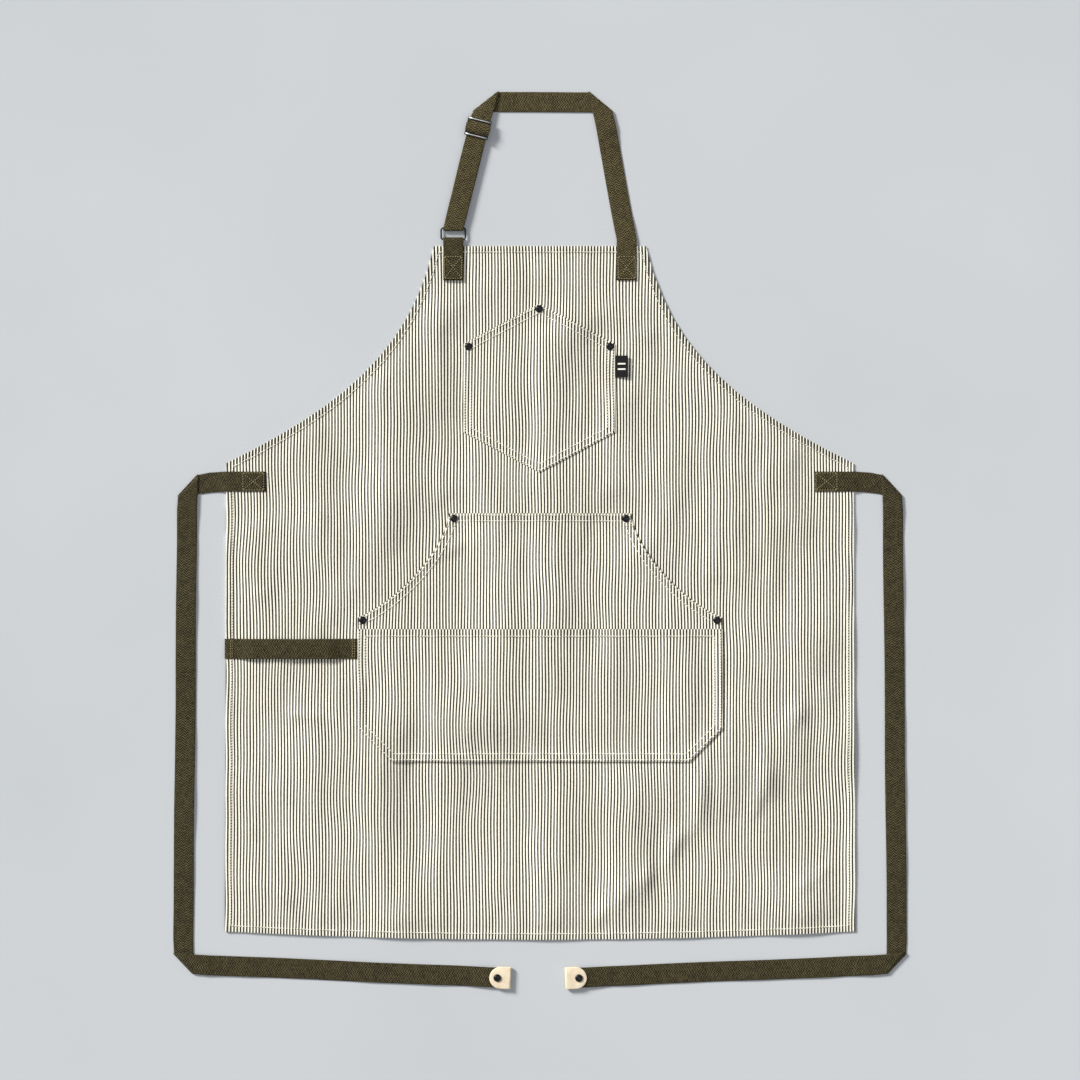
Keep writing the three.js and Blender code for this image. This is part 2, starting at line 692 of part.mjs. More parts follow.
// The hidden second layer, from the ring back up to the slider.
function neckStrapReturn() {
  const heading = Math.PI / 2 - leanLeft;
  const onLeft = (distance) => {
    const { x, y } = alongLeftStrap(distance);
    return section(x, y, returnLayer, heading);
  };
  return strap([
    section(-NECK_STRAP_X, ringTopBarY + CLEARANCE, returnLayer, Math.PI / 2),
    onLeft(RAMP / 2),
    onLeft(SLIDER_FROM_RING - END_LOOP_LEG - CLEARANCE),
  ]);
}

// A closed ring of round wire with rounded corners, lying flat.
function neckRing() {
  const wire = RING_WIRE / 2;
  const halfWidth = WEBBING_WIDTH / 2 + RING_SIDE_CLEARANCE + wire - RING_CORNER;
  const halfHeight = RING_BAR_SPACING / 2 - RING_CORNER;
  const around = [];
  for (let corner = 0; corner < 4; corner += 1) {
    for (let i = 0; i <= RING_CORNER_STEPS; i += 1) {
      const angle = (Math.PI / 2) * (corner + i / RING_CORNER_STEPS);
      const outward = headingVector(angle);
      const signX = corner === 0 || corner === 3 ? 1 : -1;
      const signY = corner < 2 ? 1 : -1;
      const hub = new THREE.Vector3(signX * halfWidth, signY * halfHeight, 0);
      around.push({ hub: hub.addScaledVector(outward, RING_CORNER), outward });
    }
  }
  const positions = [];
  const triangles = [];
  around.forEach(({ hub, outward }, i) => {
    for (let j = 0; j < WIRE_SIDES; j += 1) {
      const angle = (2 * Math.PI * j) / WIRE_SIDES;
      const point = hub.clone()
        .addScaledVector(outward, wire * Math.cos(angle))
        .addScaledVector(UP, wire * Math.sin(angle));
      positions.push(point.x, point.y, point.z);
      const next = (i + 1) % around.length;
      const beside = (j + 1) % WIRE_SIDES;
      const here = i * WIRE_SIDES;
      const there = next * WIRE_SIDES;
      triangles.push(here + j, there + j, there + beside, here + j, there + beside, here + beside);
    }
  });
  const geometry = new THREE.BufferGeometry();
  geometry.setAttribute('position', new THREE.Float32BufferAttribute(positions, 3));
  geometry.setIndex(triangles);
  return geometry.translate(-NECK_STRAP_X, (neckFoldY + ringTopBarY) / 2, NECK_FOLD_Z);
}

function roundedRectangle(width, height, radius) {
  const corners = [[1, 1], [-1, 1], [-1, -1], [1, -1]];
  const outline = [];
  corners.forEach(([signX, signY], corner) => {
    for (let i = 0; i <= SLIDER_CORNER_STEPS; i += 1) {
      const angle = (Math.PI / 2) * (corner + i / SLIDER_CORNER_STEPS);
      const hub = point2(signX * (width / 2 - radius), signY * (height / 2 - radius));
      outline.push(hub.add(point2(radius * Math.cos(angle), radius * Math.sin(angle))));
    }
  });
  return outline;
}

// Turns a piece built along +Y round the slider's middle into its place on the leaning strap.
function onSlider(geometry) {
  const { x, y } = alongLeftStrap(SLIDER_FROM_RING);
  return geometry.rotateZ(-leanLeft).translate(x, y, 0);
}

const endLoopRadius = CENTRE_BAR_RADIUS + END_LOOP_GAP + END_LOOP_THICK / 2;
const centreBarZ = FLOOR_GAP + endLoopRadius + END_LOOP_THICK / 2;

// A flat frame over the strap, with a bar under the strap held by two cheeks.
function sliderFrame() {
  const low = frontLayer + WEBBING / 2 + CLEARANCE;
  const high = low + SLIDER_THICK;
  const windowWidth = WEBBING_WIDTH + 2 * SLIDER_SIDE_CLEARANCE;
  const windowLength = SLIDER_LENGTH - 2 * SLIDER_BORDER;
  const width = windowWidth + 2 * SLIDER_BORDER;
  const outer = roundedRectangle(width, SLIDER_LENGTH, SLIDER_CORNER);
  const window = roundedRectangle(windowWidth, windowLength, SLIDER_WINDOW_CORNER);
  const rim = cut(slab(outer, low, high), slab(window, low - CUT_MARGIN, high + CUT_MARGIN));
  const barLow = centreBarZ - CENTRE_BAR_RADIUS;
  const cheekX = (width - SLIDER_BORDER) / 2;
  const cheek = (side) => new THREE.BoxGeometry(SLIDER_BORDER, CHEEK_LENGTH, high - barLow)
    .translate(side * cheekX, 0, (high + barLow) / 2);
  const bar = new THREE.CylinderGeometry(CENTRE_BAR_RADIUS, CENTRE_BAR_RADIUS, 2 * cheekX, WIRE_SIDES)
    .rotateZ(Math.PI / 2)
    .translate(0, 0, centreBarZ);
  return onSlider(joined(rim, cheek(-1), cheek(1), bar));
}

// The strap's sewn end, folded round the slider's middle bar.
function strapEndLoop() {
  const up = Math.PI / 2;
  const lowerZ = centreBarZ - endLoopRadius;
  const upperZ = lowerZ + END_LOOP_THICK + LAY_GAP;
  return onSlider(strap([
    section(0, -END_LOOP_LEG, lowerZ, up, DOWN),
    ...wrapSections(0, 0, centreBarZ, endLoopRadius, -90, 90),
    section(0, -END_LOOP_LEG / 3, upperZ, -up),
    section(0, -END_LOOP_LEG, upperZ, -up),
  ], END_LOOP_THICK));
}

addNode('neck_ring_tab', neckRingTab(), 'olive_webbing');
addNode('neck_strap_sewn_end', neckStrapSewnEnd(), 'olive_webbing');
addNode('neck_strap', neckStrap(), 'olive_webbing');
addNode('neck_strap_return', neckStrapReturn(), 'olive_webbing');
addNode('neck_ring', neckRing(), 'black_metal');
addNode('slider_frame', sliderFrame(), 'gunmetal');
addNode('strap_end_loop', strapEndLoop(), 'olive_webbing');

// ---------------------------------------------------------------- Waist ties

const tipStackZ = RIVET_TACK_THICK + CLEARANCE;
const tipStrapZ = tipStackZ + LEATHER + LAY_GAP + WEBBING / 2;
const tipTopZ = tipStackZ + 2 * (LEATHER + LAY_GAP) + WEBBING;

// Everything one tie needs, for side -1 or 1.
function tieLayout(side) {
  const mirrored = (heading) => (side > 0 ? heading : Math.PI - heading);
  const outwards = mirrored(degrees(-TIE_SAG));
  const edgeX = PANEL_WAIST_WIDTH / 2;
  const patchY = BIB_TOP_Y - TIE_BELOW_TOP;
  const upperX = edgeX + TIE_STUB;
  const upperY = patchY - TIE_STUB * Math.tan(degrees(TIE_SAG));
  const lowerX = upperX + TIE_DROP_SPREAD;
  const lowerY = HEM_Y - TAIL_BELOW_HEM;
  const downwards = mirrored(Math.atan2(lowerY - upperY, lowerX - upperX));
  const inwards = mirrored(degrees(-180 + TAIL_SLOPE));
  return {
    side,
    patchY,
    edgeX: side * edgeX,
    outwards,
    downwards,
    inwards,
    tailLength: side < 0 ? TAIL_LENGTH_LEFT : TAIL_LENGTH_RIGHT,
    upper: crease(side * upperX, upperY, outwards, downwards),
    lower: crease(side * lowerX, lowerY, downwards, inwards),
  };
}

const along = (fold, heading, distance, z) => section(
  fold.x + distance * Math.cos(heading),
  fold.y + distance * Math.sin(heading),
  z,
  heading,
);

// A crease belongs to the strap that leaves it as well, whose left edge may be its other end.
function leavingSection(fold, heading, z) {
  const left = new THREE.Vector3().crossVectors(UP, headingVector(heading));
  return creaseSection(fold, z, CLEARANCE, UP, Math.sign(left.dot(fold.half)));
}

function tieSewnEnd(tie) {
  const level = tie.side > 0 ? 0 : Math.PI;
  const offPanel = tie.edgeX + tie.side * CLEARANCE;
  return strap([
    section(tie.edgeX - tie.side * TIE_PATCH, tie.patchY, WEBBING_ON_PANEL, level),
    section(offPanel, tie.patchY, WEBBING_ON_PANEL, level),
    section(offPanel + tie.side * RAMP / 4, tie.patchY, WEBBING_ON_FLOOR, level),
    creaseSection(tie.upper, WEBBING_ON_FLOOR, CLEARANCE),
  ]);
}

function tieDrop(tie) {
  const length = Math.hypot(tie.lower.x - tie.upper.x, tie.lower.y - tie.upper.y);
  return strap([
    leavingSection(tie.upper, tie.downwards, UPPER_LAYER),
    along(tie.upper, tie.downwards, RAMP, UPPER_LAYER),
    along(tie.upper, tie.downwards, 2 * RAMP, WEBBING_ON_FLOOR),
    along(tie.upper, tie.downwards, length - RAMP, WEBBING_ON_FLOOR),
    creaseSection(tie.lower, WEBBING_ON_FLOOR, CLEARANCE),
  ]);
}

function tipPlace(tie, fromEnd) {
  const distance = tie.tailLength - fromEnd;
  return {
    x: tie.lower.x + distance * Math.cos(tie.inwards),
    y: tie.lower.y + distance * Math.sin(tie.inwards),
  };
}

function tieTail(tie) {
  const rivet = tipPlace(tie, TIP_RIVET_FROM_END);
  const body = strap([
    leavingSection(tie.lower, tie.inwards, UPPER_LAYER),
    along(tie.lower, tie.inwards, RAMP, UPPER_LAYER),
    along(tie.lower, tie.inwards, 2 * RAMP, WEBBING_ON_FLOOR),
    along(tie.lower, tie.inwards, tie.tailLength - TIP_LENGTH - RAMP, WEBBING_ON_FLOOR),
    along(tie.lower, tie.inwards, tie.tailLength - TIP_LENGTH, tipStrapZ),
    along(tie.lower, tie.inwards, tie.tailLength - TIP_OVERHANG, tipStrapZ),
  ]);
  return cut(body, rivetHole(rivet.x, rivet.y));
}

// A piece of leather folded over the tie's end, with its free edges cut to a half round.
function tieTip(tie) {
  const half = WEBBING_WIDTH / 2 + TIP_SIDE_LAP;
  const outline = [point2(0, -half), point2(0, half)];
  for (let i = 0; i <= TIP_ROUND_STEPS; i += 1) {
    const angle = Math.PI * (0.5 + i / TIP_ROUND_STEPS);
    outline.push(point2(half - TIP_LENGTH + half * Math.cos(angle), half * Math.sin(angle)));
  }
  const slot = new THREE.BoxGeometry(2 * TIP_LENGTH, 4 * half, WEBBING + 2 * LAY_GAP)
    .translate(-TIP_LENGTH - TIP_OVERHANG + LAY_GAP, 0, tipStrapZ);
  const rivet = tipPlace(tie, TIP_RIVET_FROM_END);
  const end = tipPlace(tie, 0);
  const folded = cut(slab(outline, tipStackZ, tipTopZ), slot).rotateZ(tie.inwards).translate(end.x, end.y, 0);
  return cut(folded, rivetHole(rivet.x, rivet.y));
}

for (const side of [-1, 1]) {
  const hand = side < 0 ? 'left' : 'right';
  const tie = tieLayout(side);
  const rivet = tipPlace(tie, TIP_RIVET_FROM_END);
  addNode(`${hand}_tie_sewn_end`, tieSewnEnd(tie), 'olive_webbing');
  addNode(`${hand}_tie_drop`, tieDrop(tie), 'olive_webbing');
  addNode(`${hand}_tie_tail`, tieTail(tie), 'olive_webbing');
  addNode(`${hand}_tie_tip`, tieTip(tie), 'cream_leather');
  addRivet(`${hand}_tip_rivet`, rivet.x, rivet.y, tipTopZ, RIVET_TACK_THICK);
}

// ---------------------------------------------------------------- Centred on the origin

const bounds = new THREE.Box3().setFromObject(apron);
const middle = bounds.getCenter(new THREE.Vector3());
for (const mesh of apron.children) {
  mesh.geometry.translate(-middle.x, -middle.y, -bounds.min.z);
}

export default apron;
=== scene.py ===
"""A striped butcher apron laid out flat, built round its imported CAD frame. Metres, +Y up the bib, +Z up."""
import json
import math

import bpy
import numpy as np
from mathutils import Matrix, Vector
from mathutils.geometry import delaunay_2d_cdt


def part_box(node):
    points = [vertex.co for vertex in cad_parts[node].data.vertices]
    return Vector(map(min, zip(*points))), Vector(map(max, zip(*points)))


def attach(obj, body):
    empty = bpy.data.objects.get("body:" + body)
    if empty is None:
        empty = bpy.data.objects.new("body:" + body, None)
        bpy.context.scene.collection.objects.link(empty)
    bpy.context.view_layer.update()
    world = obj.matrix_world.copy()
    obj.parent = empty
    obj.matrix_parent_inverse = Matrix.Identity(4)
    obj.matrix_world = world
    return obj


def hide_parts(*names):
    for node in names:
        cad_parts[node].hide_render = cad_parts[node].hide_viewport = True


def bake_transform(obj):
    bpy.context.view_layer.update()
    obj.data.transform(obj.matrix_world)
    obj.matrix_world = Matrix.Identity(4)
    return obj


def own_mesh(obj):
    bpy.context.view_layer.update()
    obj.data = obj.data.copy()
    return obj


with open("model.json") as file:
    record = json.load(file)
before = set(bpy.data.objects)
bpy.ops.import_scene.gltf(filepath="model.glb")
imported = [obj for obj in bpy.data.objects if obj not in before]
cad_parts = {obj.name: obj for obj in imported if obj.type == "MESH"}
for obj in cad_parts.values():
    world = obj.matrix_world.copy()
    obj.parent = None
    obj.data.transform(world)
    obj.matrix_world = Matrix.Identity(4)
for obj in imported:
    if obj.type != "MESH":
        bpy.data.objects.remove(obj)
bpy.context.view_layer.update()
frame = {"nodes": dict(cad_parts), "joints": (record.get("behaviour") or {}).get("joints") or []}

MM = 0.001
UP = np.array([0.0, 0.0, 1.0])
DOWN = -UP

# ---------------------------------------------------------------- Dimensions

CLOTH = 0.6 * MM
PANEL_TOP = 1.8 * MM
HEM = 8 * MM
WAIST_Y = 92 * MM
LAY_GAP = 0.2 * MM
MESH_SPACING = 6 * MM
SOFT_HEIGHT = 1.5 * MM
FINE_HEIGHT = 0.2 * MM
STRIPE_SWAY = 0.55 * MM
STRIPE_TREMBLE = 0.10 * MM
CALM_EDGE = 28 * MM

WEBBING = 1.2 * MM
WEBBING_WIDTH = 24 * MM
FLOOR_LAYER = 0.7 * MM
UPPER_LAYER = 2.2 * MM
FOLD_RADIUS = 0.75 * MM
STRAP_STEP = 5 * MM

BIB_PEAK_RISE = 48 * MM
BIB_POINT = 48 * MM
HAND_TOP_HALF = 109 * MM
HAND_MOUTH_DROP = 125 * MM
MOUTH_LOW_PULL = (48.2 * MM, 19.5 * MM)
MOUTH_HIGH_PULL = (4.6 * MM, 43.8 * MM)
HAND_CORNER = 40 * MM
POCKET_TURNING = 0.35 * MM
TURNED_FLAT = 8 * MM
TURNED_END = 9.5 * MM
SEAM_BAND = 12 * MM
POCKET_EASE = 1.3 * MM
EASE_RAMP = 40 * MM

STRIPE_PITCH = 3.76 * MM
LINE_WOBBLE = 0.45 * MM
BIB_STRIPE_SHIFT = 0.9 * MM
HAND_STRIPE_SHIFT = 1.7 * MM
FRONT_STRIPE_SHIFT = 3.5 * MM
TWILL_PITCH = 0.8 * MM
WEAVE_LANE = 3 * MM
WEAVE_RIB = 3.1 * MM
WEAVE_YARN = 1.1 * MM

STITCH = 2.7 * MM
STITCH_GAP = 0.7 * MM
STRAP_STITCH = 1.9 * MM
STRAP_STITCH_GAP = 0.9 * MM
STRAP_THREAD_RISE = 0.12 * MM
THREAD = 0.46 * MM
SEWING_STEP = 4 * MM
HEM_ROW = 7.2 * MM
MOUTH_ROW = 8.3 * MM
POCKET_ROWS = (2 * MM, 9 * MM)

CAP_HEIGHT = 1.7 * MM
LABEL_RISE = 2.2 * MM
LABEL_LAYER = 0.42 * MM
LABEL_FOLD = 0.5 * MM
LABEL_BAR_AT = 3.2 * MM
LABEL_BAR_HALF = (4.6 * MM, 0.9 * MM)
RING_WIRE = 2 * MM
RING_CORNER = 2.5 * MM
WRAP_RADIUS = 1.9 * MM
NECK_FOLD_RADIUS = 0.95 * MM
LEAN_RIGHT = math.radians(10.5)
LEAN_LEFT = math.radians(14)
PATCH_BOX = 26 * MM
BOX_MARGIN = 1.8 * MM
SLIDER_LENGTH = 22.5 * MM
SLIDER_BAR = 3.2 * MM
CHEEK_GAP = 1.4 * MM
MIDDLE_BAR = 0.7 * MM
RAIL = 1.0 * MM
HUMP_RISE = 2.9 * MM
HUMP_SPREAD = 2.9 * MM
END_LOOP = 0.9 * MM
END_LOOP_LEG = 18 * MM

# Distances along a strap from a fold, where it lies straight, is back on the floor, or starts to rise.
TIE_STRAIGHT = 30 * MM
TIE_ON_FLOOR = 62 * MM
NECK_RISE_START = 60 * MM
NECK_RISE_END = 32 * MM
NECK_ON_FLOOR = 30 * MM
RING_STRAIGHT = 15 * MM
SLIDER_STRAIGHT = 14 * MM

TIE_SAG = math.radians(5)
TAIL_SLOPE = math.radians(2.4)
TIE_BOX = 25 * MM
TIE_LIFT = 0.9 * MM
TIP_LENGTH = 26 * MM
TIP_RIVET_FROM_END = 16.5 * MM
LEATHER_THICK = 1.4 * MM
FOLD_INSET = 2.2 * MM

CAMERA_HEIGHT = 3.0
VIEW_WIDTH = 1.296
SENSOR = 36.0

# ---------------------------------------------------------------- Places from the frame

box = {name: [np.array(corner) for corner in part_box(name)] for name in frame["nodes"]}
joints = {joint["name"]: joint for joint in frame["joints"]}


def centre(name):
    low, high = box[name]
    return (low + high) / 2


RIVETS = [centre(name) for name in box if name.endswith("_cap") and "tip" not in name]

# ---------------------------------------------------------------- Mesh building


def make_object(name, points, faces, material, uvs=None):
    mesh = bpy.data.meshes.new(name)
    mesh.from_pydata([tuple(map(float, point)) for point in points], [], [tuple(face) for face in faces])
    if uvs is not None:
        corners = np.zeros(len(mesh.loops), np.int32)
        mesh.loops.foreach_get("vertex_index", corners)
        layer = mesh.uv_layers.new(name="flat")
        layer.data.foreach_set("uv", np.asarray(uvs, np.float32)[corners].ravel())
    mesh.polygons.foreach_set("use_smooth", [True] * len(mesh.polygons))
    mesh.materials.append(material)
    mesh.update()
    thing = bpy.data.objects.new(name, mesh)
    bpy.context.scene.collection.objects.link(thing)
    return thing


def merged(name, parts, material):
    """One object from several parts, each of them points and faces."""
    points, faces = [], []
    for more_points, more_faces in parts:
        faces += [tuple(index + len(points) for index in face) for face in more_faces]
        points += [tuple(point) for point in more_points]
    return make_object(name, points, faces, material)


def sharpen(thing, degrees=50):
    """Keeps hard edges crisp on a smooth mesh."""
    thing.data.set_sharp_from_angle(angle=math.radians(degrees))
    return thing


def shell(faces, count):
    """A sheet's faces, the same turned over on the points that come count later, and the rim between."""
    directed = {edge for face in faces for edge in zip(face, face[1:] + face[:1])}
    under = [tuple(index + count for index in reversed(face)) for face in faces]
    rim = [(j, i, i + count, j + count) for i, j in sorted(directed) if (j, i) not in directed]
    return faces + under + rim


def ribbon_faces(count, columns):
    """Faces of a closed ribbon whose upper grid of points comes before its lower one."""
    starts = [i * columns + j for i in range(count - 1) for j in range(columns - 1)]
    return shell([(a, a + columns, a + columns + 1, a + 1) for a in starts], count * columns)


def side_faces(rings, sides, closed=False):
    """Faces between one ring of points and the next."""
    faces = []
    for i in range(rings if closed else rings - 1):
        here, after = i * sides, (i + 1) % rings * sides
        for k in range(sides):
            turned = (k + 1) % sides
            faces.append((here + k, here + turned, after + turned, after + k))
    return faces


def end_faces(rings, sides):
    return [tuple(reversed(range(sides))), tuple(range((rings - 1) * sides, rings * sides))]


def around(sides):
    return [2 * math.pi * k / sides for k in range(sides)]


def circle(place, radius, height, sides):
    return [(place[0] + radius * math.cos(a), place[1] + radius * math.sin(a), height) for a in around(sides)]


def lerp(a, b, share):
    return a + (b - a) * share


def smoothstep(value, low, high):
    share = np.clip((value - low) / (high - low), 0, 1)
    return share * share * (3 - 2 * share)


def bezier(points, steps):
    t = np.linspace(0, 1, steps + 1)[:, None]
    a, b, c, d = (np.array(point, float) for point in points)
    return (1 - t) ** 3 * a + 3 * (1 - t) ** 2 * t * b + 3 * (1 - t) * t ** 2 * c + t ** 3 * d


def inset(outline, width):
    """A counter-clockwise loop moved inwards."""
    arriving = outline - np.roll(outline, 1, axis=0)
    leaving = np.roll(outline, -1, axis=0) - outline
    arriving /= np.linalg.norm(arriving, axis=1)[:, None]
    leaving /= np.linalg.norm(leaving, axis=1)[:, None]
    square = np.stack([-arriving[:, 1], arriving[:, 0]], axis=1)
    inwards = square + np.stack([-leaving[:, 1], leaving[:, 0]], axis=1)
    inwards /= np.linalg.norm(inwards, axis=1)[:, None]
    reach = width / (inwards * square).sum(1)
    return outline + inwards * reach[:, None]


def resampled(points, spacing, closed=False):
    """The same line with a point at least every spacing."""
    points = [np.array(point, float) for point in points]
    ends = points[1:] + points[:1] if closed else points[1:]
    line = []
    for start, end in zip(points, ends):
        steps = max(1, math.ceil(np.linalg.norm(end - start) / spacing))
        line += [lerp(start, end, i / steps) for i in range(steps)]
    return np.array(line if closed else line + [points[-1]])


def to_line(points, line, closed=True):
    """Distance from each point to a line of segments."""
    starts = np.asarray(line, float)
    ends = np.roll(starts, -1, axis=0) if closed else starts[1:]
    starts = starts if closed else starts[:-1]
    least = np.full(len(points), np.inf)
    for start, end in zip(starts, ends):
        along = end - start
        share = np.clip(((points - start) @ along) / (along @ along), 0, 1)
        least = np.minimum(least, np.linalg.norm(points - start - share[:, None] * along, axis=1))
    return least


def inside(points, loop):
    found = np.zeros(len(points), bool)
    for start, end in zip(loop, np.roll(loop, -1, axis=0)):
        spans = (start[1] > points[:, 1]) != (end[1] > points[:, 1])
        slope = (end[0] - start[0]) / ((end[1] - start[1]) or 1e-12)
        found ^= spans & (points[:, 0] < start[0] + slope * (points[:, 1] - start[1]))
    return found


def painted_seam_shade(flat, depth):
    """Painted shade: sewn edges are drawn a little darker than the open cloth."""
    return 0.25 * (1 - smoothstep(depth, HEM - MM, HEM + MM))


def flat_triangles(outline, bands, spacing):
    """A flat mesh of a cut piece, with rings of points at the bands' depths from its edge."""
    rings = [resampled(inset(outline, band) if band else outline, spacing, closed=True) for band in bands]
    low, high = outline.min(0), outline.max(0)
    columns = np.arange(low[0], high[0], spacing)
    rows = np.arange(low[1], high[1], spacing * math.sqrt(3) / 2)
    grid = np.array([(x + (i % 2) * spacing / 2, y) for i, y in enumerate(rows) for x in columns])
    grid = grid[inside(grid, outline)]
    grid = grid[to_line(grid, outline) > bands[-1] + 0.6 * spacing]
    edges = []
    start = 0
    for ring in rings:
        count = len(ring)
        edges += [(start + i, start + (i + 1) % count) for i in range(count)]
        start += count
    found = delaunay_2d_cdt([Vector(point) for point in np.vstack([*rings, grid])], edges, [], 1, 1e-7)
    flat = np.array([tuple(point) for point in found[0]])
    triangles = np.array([tuple(face) for face in found[2]])
    a, b, c = (flat[triangles[:, i]] for i in range(3))
    turned = (b[:, 0] - a[:, 0]) * (c[:, 1] - a[:, 1]) - (b[:, 1] - a[:, 1]) * (c[:, 0] - a[:, 0]) < 0
    triangles[turned] = triangles[turned][:, ::-1]
    return flat, [tuple(face) for face in triangles.tolist()]


def cloth_piece(name, outline, bands, top_at, under_at, stripe_shift=0.0, spacing=MESH_SPACING,
                painted_shade_at=painted_seam_shade):
    """A cut piece of cloth between two height functions of (points, depth from the edge)."""
    flat, triangles = flat_triangles(outline, bands, spacing)
    depth = to_line(flat, outline)
    top = top_at(flat, depth)
    under = under_at(depth, top)
    points = np.vstack([np.column_stack([flat, top]), np.column_stack([flat, under])])
    cut = np.column_stack([flat[:, 0] + stripe_wave(flat) + stripe_shift, flat[:, 1]])
    thing = make_object(name, points, shell(triangles, len(flat)), COTTON, np.vstack([cut, cut]))
    # Painted shade for the sewn edges, kept on the points for the cotton to darken its lines.
    shade = thing.data.attributes.new("seam", "FLOAT", "POINT")
    shade.data.foreach_set("value", np.tile(painted_shade_at(flat, depth), 2).astype(np.float32))
    return sharpen(thing)


# ---------------------------------------------------------------- How the cloth lies

# Soft ridges where the cloth was folded and pushed, in mm: points, height and half width.
RIDGES = [
    ([(339, -182), (300, -215), (270, -263), (258, -371)], 3.2, 11),
    ([(210, -251), (196, -300), (180, -341), (132, -401), (54, -467)], 3.2, 12),
    ([(354, -389), (325, -405), (290, -433)], 2.8, 7),
    ([(-330, -195), (-300, -208), (-262, -214), (-228, -227)], 3.2, 7),
    ([(-354, -395), (-330, -415), (-282, -443)], 2.8, 7),
    ([(-366, -60), (-338, -66), (-322, -62)], 2.4, 6),
    ([(-366, -120), (-340, -132), (-318, -131)], 2.6, 6),
    ([(-366, -230), (-336, -240)], 2.4, 6),
    ([(-366, -345), (-334, -352)], 2.2, 6),
    ([(-366, 40), (-342, 30), (-330, 10)], 2.2, 6),
    ([(-54, 7), (-114, -11), (-150, -47), (-144, -101)], 1.8, 8),
    ([(300, -96), (334, -118), (362, -122)], 1.8, 7),
    ([(340, -300), (362, -288)], 1.6, 6),
    ([(-300, 60), (-262, 30), (-236, -20)], 1.5, 9),
    ([(108, 243), (128, 247), (152, 246)], 1.6, 8),
    ([(-188, 96), (-160, 70), (-118, 38)], 1.2, 9),
    ([(280, -110), (318, -138), (352, -168)], 1.2, 9),
    ([(262, 190), (262, 90), (270, -20), (285, -90)], 1.1, 14),
    ([(-348, -250), (-300, -262)], 1.2, 8),
    ([(-350, -290), (-296, -306)], 1.2, 8),
    ([(160, -20), (205, -44), (240, -40)], 1.0, 9),
]


def waves(seed, count, shortest, longest, stretch):
    """Random ripples of unit spread: direction, length and phase of each, the same on every run."""
    chance = np.random.default_rng(seed)
    lengths = shortest * (longest / shortest) ** chance.random(count)
    angles = chance.uniform(0, math.pi, count)
    ways = np.column_stack([np.cos(angles), np.sin(angles) / stretch]) / lengths[:, None]
    return ways * 2 * math.pi, chance.uniform(0, 2 * math.pi, count)


def ripple(points, kind):
    ways, phases = kind
    return np.sin(points @ ways.T + phases).sum(1) / math.sqrt(len(phases) / 2)


SOFT_RIPPLES = waves(7, 26, 70 * MM, 260 * MM, 1.6)
FINE_RIPPLES = waves(11, 30, 22 * MM, 60 * MM, 2.2)
STRIPE_WAVES = waves(23, 24, 80 * MM, 300 * MM, 0.7)


def calm(points):
    """0 where the cloth is held flat by metal or webbing, 1 in the open."""
    share = np.ones(len(points))
    held = [(rivet[:2], 14 * MM) for rivet in RIVETS]
    held += [(centre(name)[:2], 34 * MM) for name in ("neck_ring_tab", "neck_strap_sewn_end")]
    held.append((centre("woven_label")[:2], 16 * MM))
    for side in ("left", "right"):
        low, high = box[f"{side}_tie_sewn_end"]
        inner = high[0] if side == "left" else low[0]
        edge = box["apron_panel"][0 if side == "left" else 1][0]
        held.append((np.array([(inner + edge) / 2, high[1] - WEBBING_WIDTH / 2]), 36 * MM))
    low, high = box["towel_loop"]
    middle = (low[1] + high[1]) / 2
    held += [(np.array([x, middle]), 20 * MM) for x in (low[0] + HEM, high[0] - HEM)]
    for place, reach in held:
        share *= smoothstep(np.linalg.norm(points - place, axis=1), reach, reach + 30 * MM)
    return share


def wrinkles(points):
    height = SOFT_HEIGHT * (1 + ripple(points, SOFT_RIPPLES)) + FINE_HEIGHT * ripple(points, FINE_RIPPLES)
    for line, peak, half_width in RIDGES:
        path = resampled(np.array(line) * MM, 8 * MM)
        away = to_line(points, path, closed=False) / (half_width * MM)
        ends = np.minimum(np.linalg.norm(points - path[0], axis=1), np.linalg.norm(points - path[-1], axis=1))
        fade = lerp(0.25, 1.0, smoothstep(ends, 0, 45 * MM))
        uneven = np.clip(0.75 + 0.35 * ripple(points, FINE_RIPPLES), 0.3, 1.2)
        height += peak * MM * fade * uneven * np.exp(-away ** 2)
    return np.maximum(height, -0.1 * MM) * calm(points)


def stripe_wave(points):
    """How far the stripes sway and tremble across the cloth."""
    return STRIPE_SWAY * ripple(points, STRIPE_WAVES) + STRIPE_TREMBLE * ripple(points, FINE_RIPPLES)


def panel_top(points):
    edge = smoothstep(to_line(points, PANEL_OUTLINE), 0, CALM_EDGE)
    return PANEL_TOP + wrinkles(points) * lerp(0.35, 1.0, edge)


# ---------------------------------------------------------------- Outlines


def cad_outline(node):
    """The outer loop of the panel, from the corners that reach from its top to its lowest face."""
    corners = {}
    for vertex in frame["nodes"][node].data.vertices:
        corners.setdefault((round(vertex.co.x, 5), round(vertex.co.y, 5)), set()).add(round(vertex.co.z, 4))
    low, high = (round(corner[2], 4) for corner in box[node])
    loop = np.array([place for place, heights in corners.items() if {low, high} <= heights])
    return loop[np.argsort(np.arctan2(loop[:, 1], loop[:, 0]))]


PANEL_OUTLINE = cad_outline("apron_panel")


def bib_pocket_outline():
    low, high = box["bib_pocket"]
    middle = (low[0] + high[0]) / 2
    return np.array([
        (middle, low[1]),
        (high[0], low[1] + BIB_POINT),
        (high[0], high[1] - BIB_PEAK_RISE),
        (middle, high[1]),
        (low[0], high[1] - BIB_PEAK_RISE),
        (low[0], low[1] + BIB_POINT),
    ])


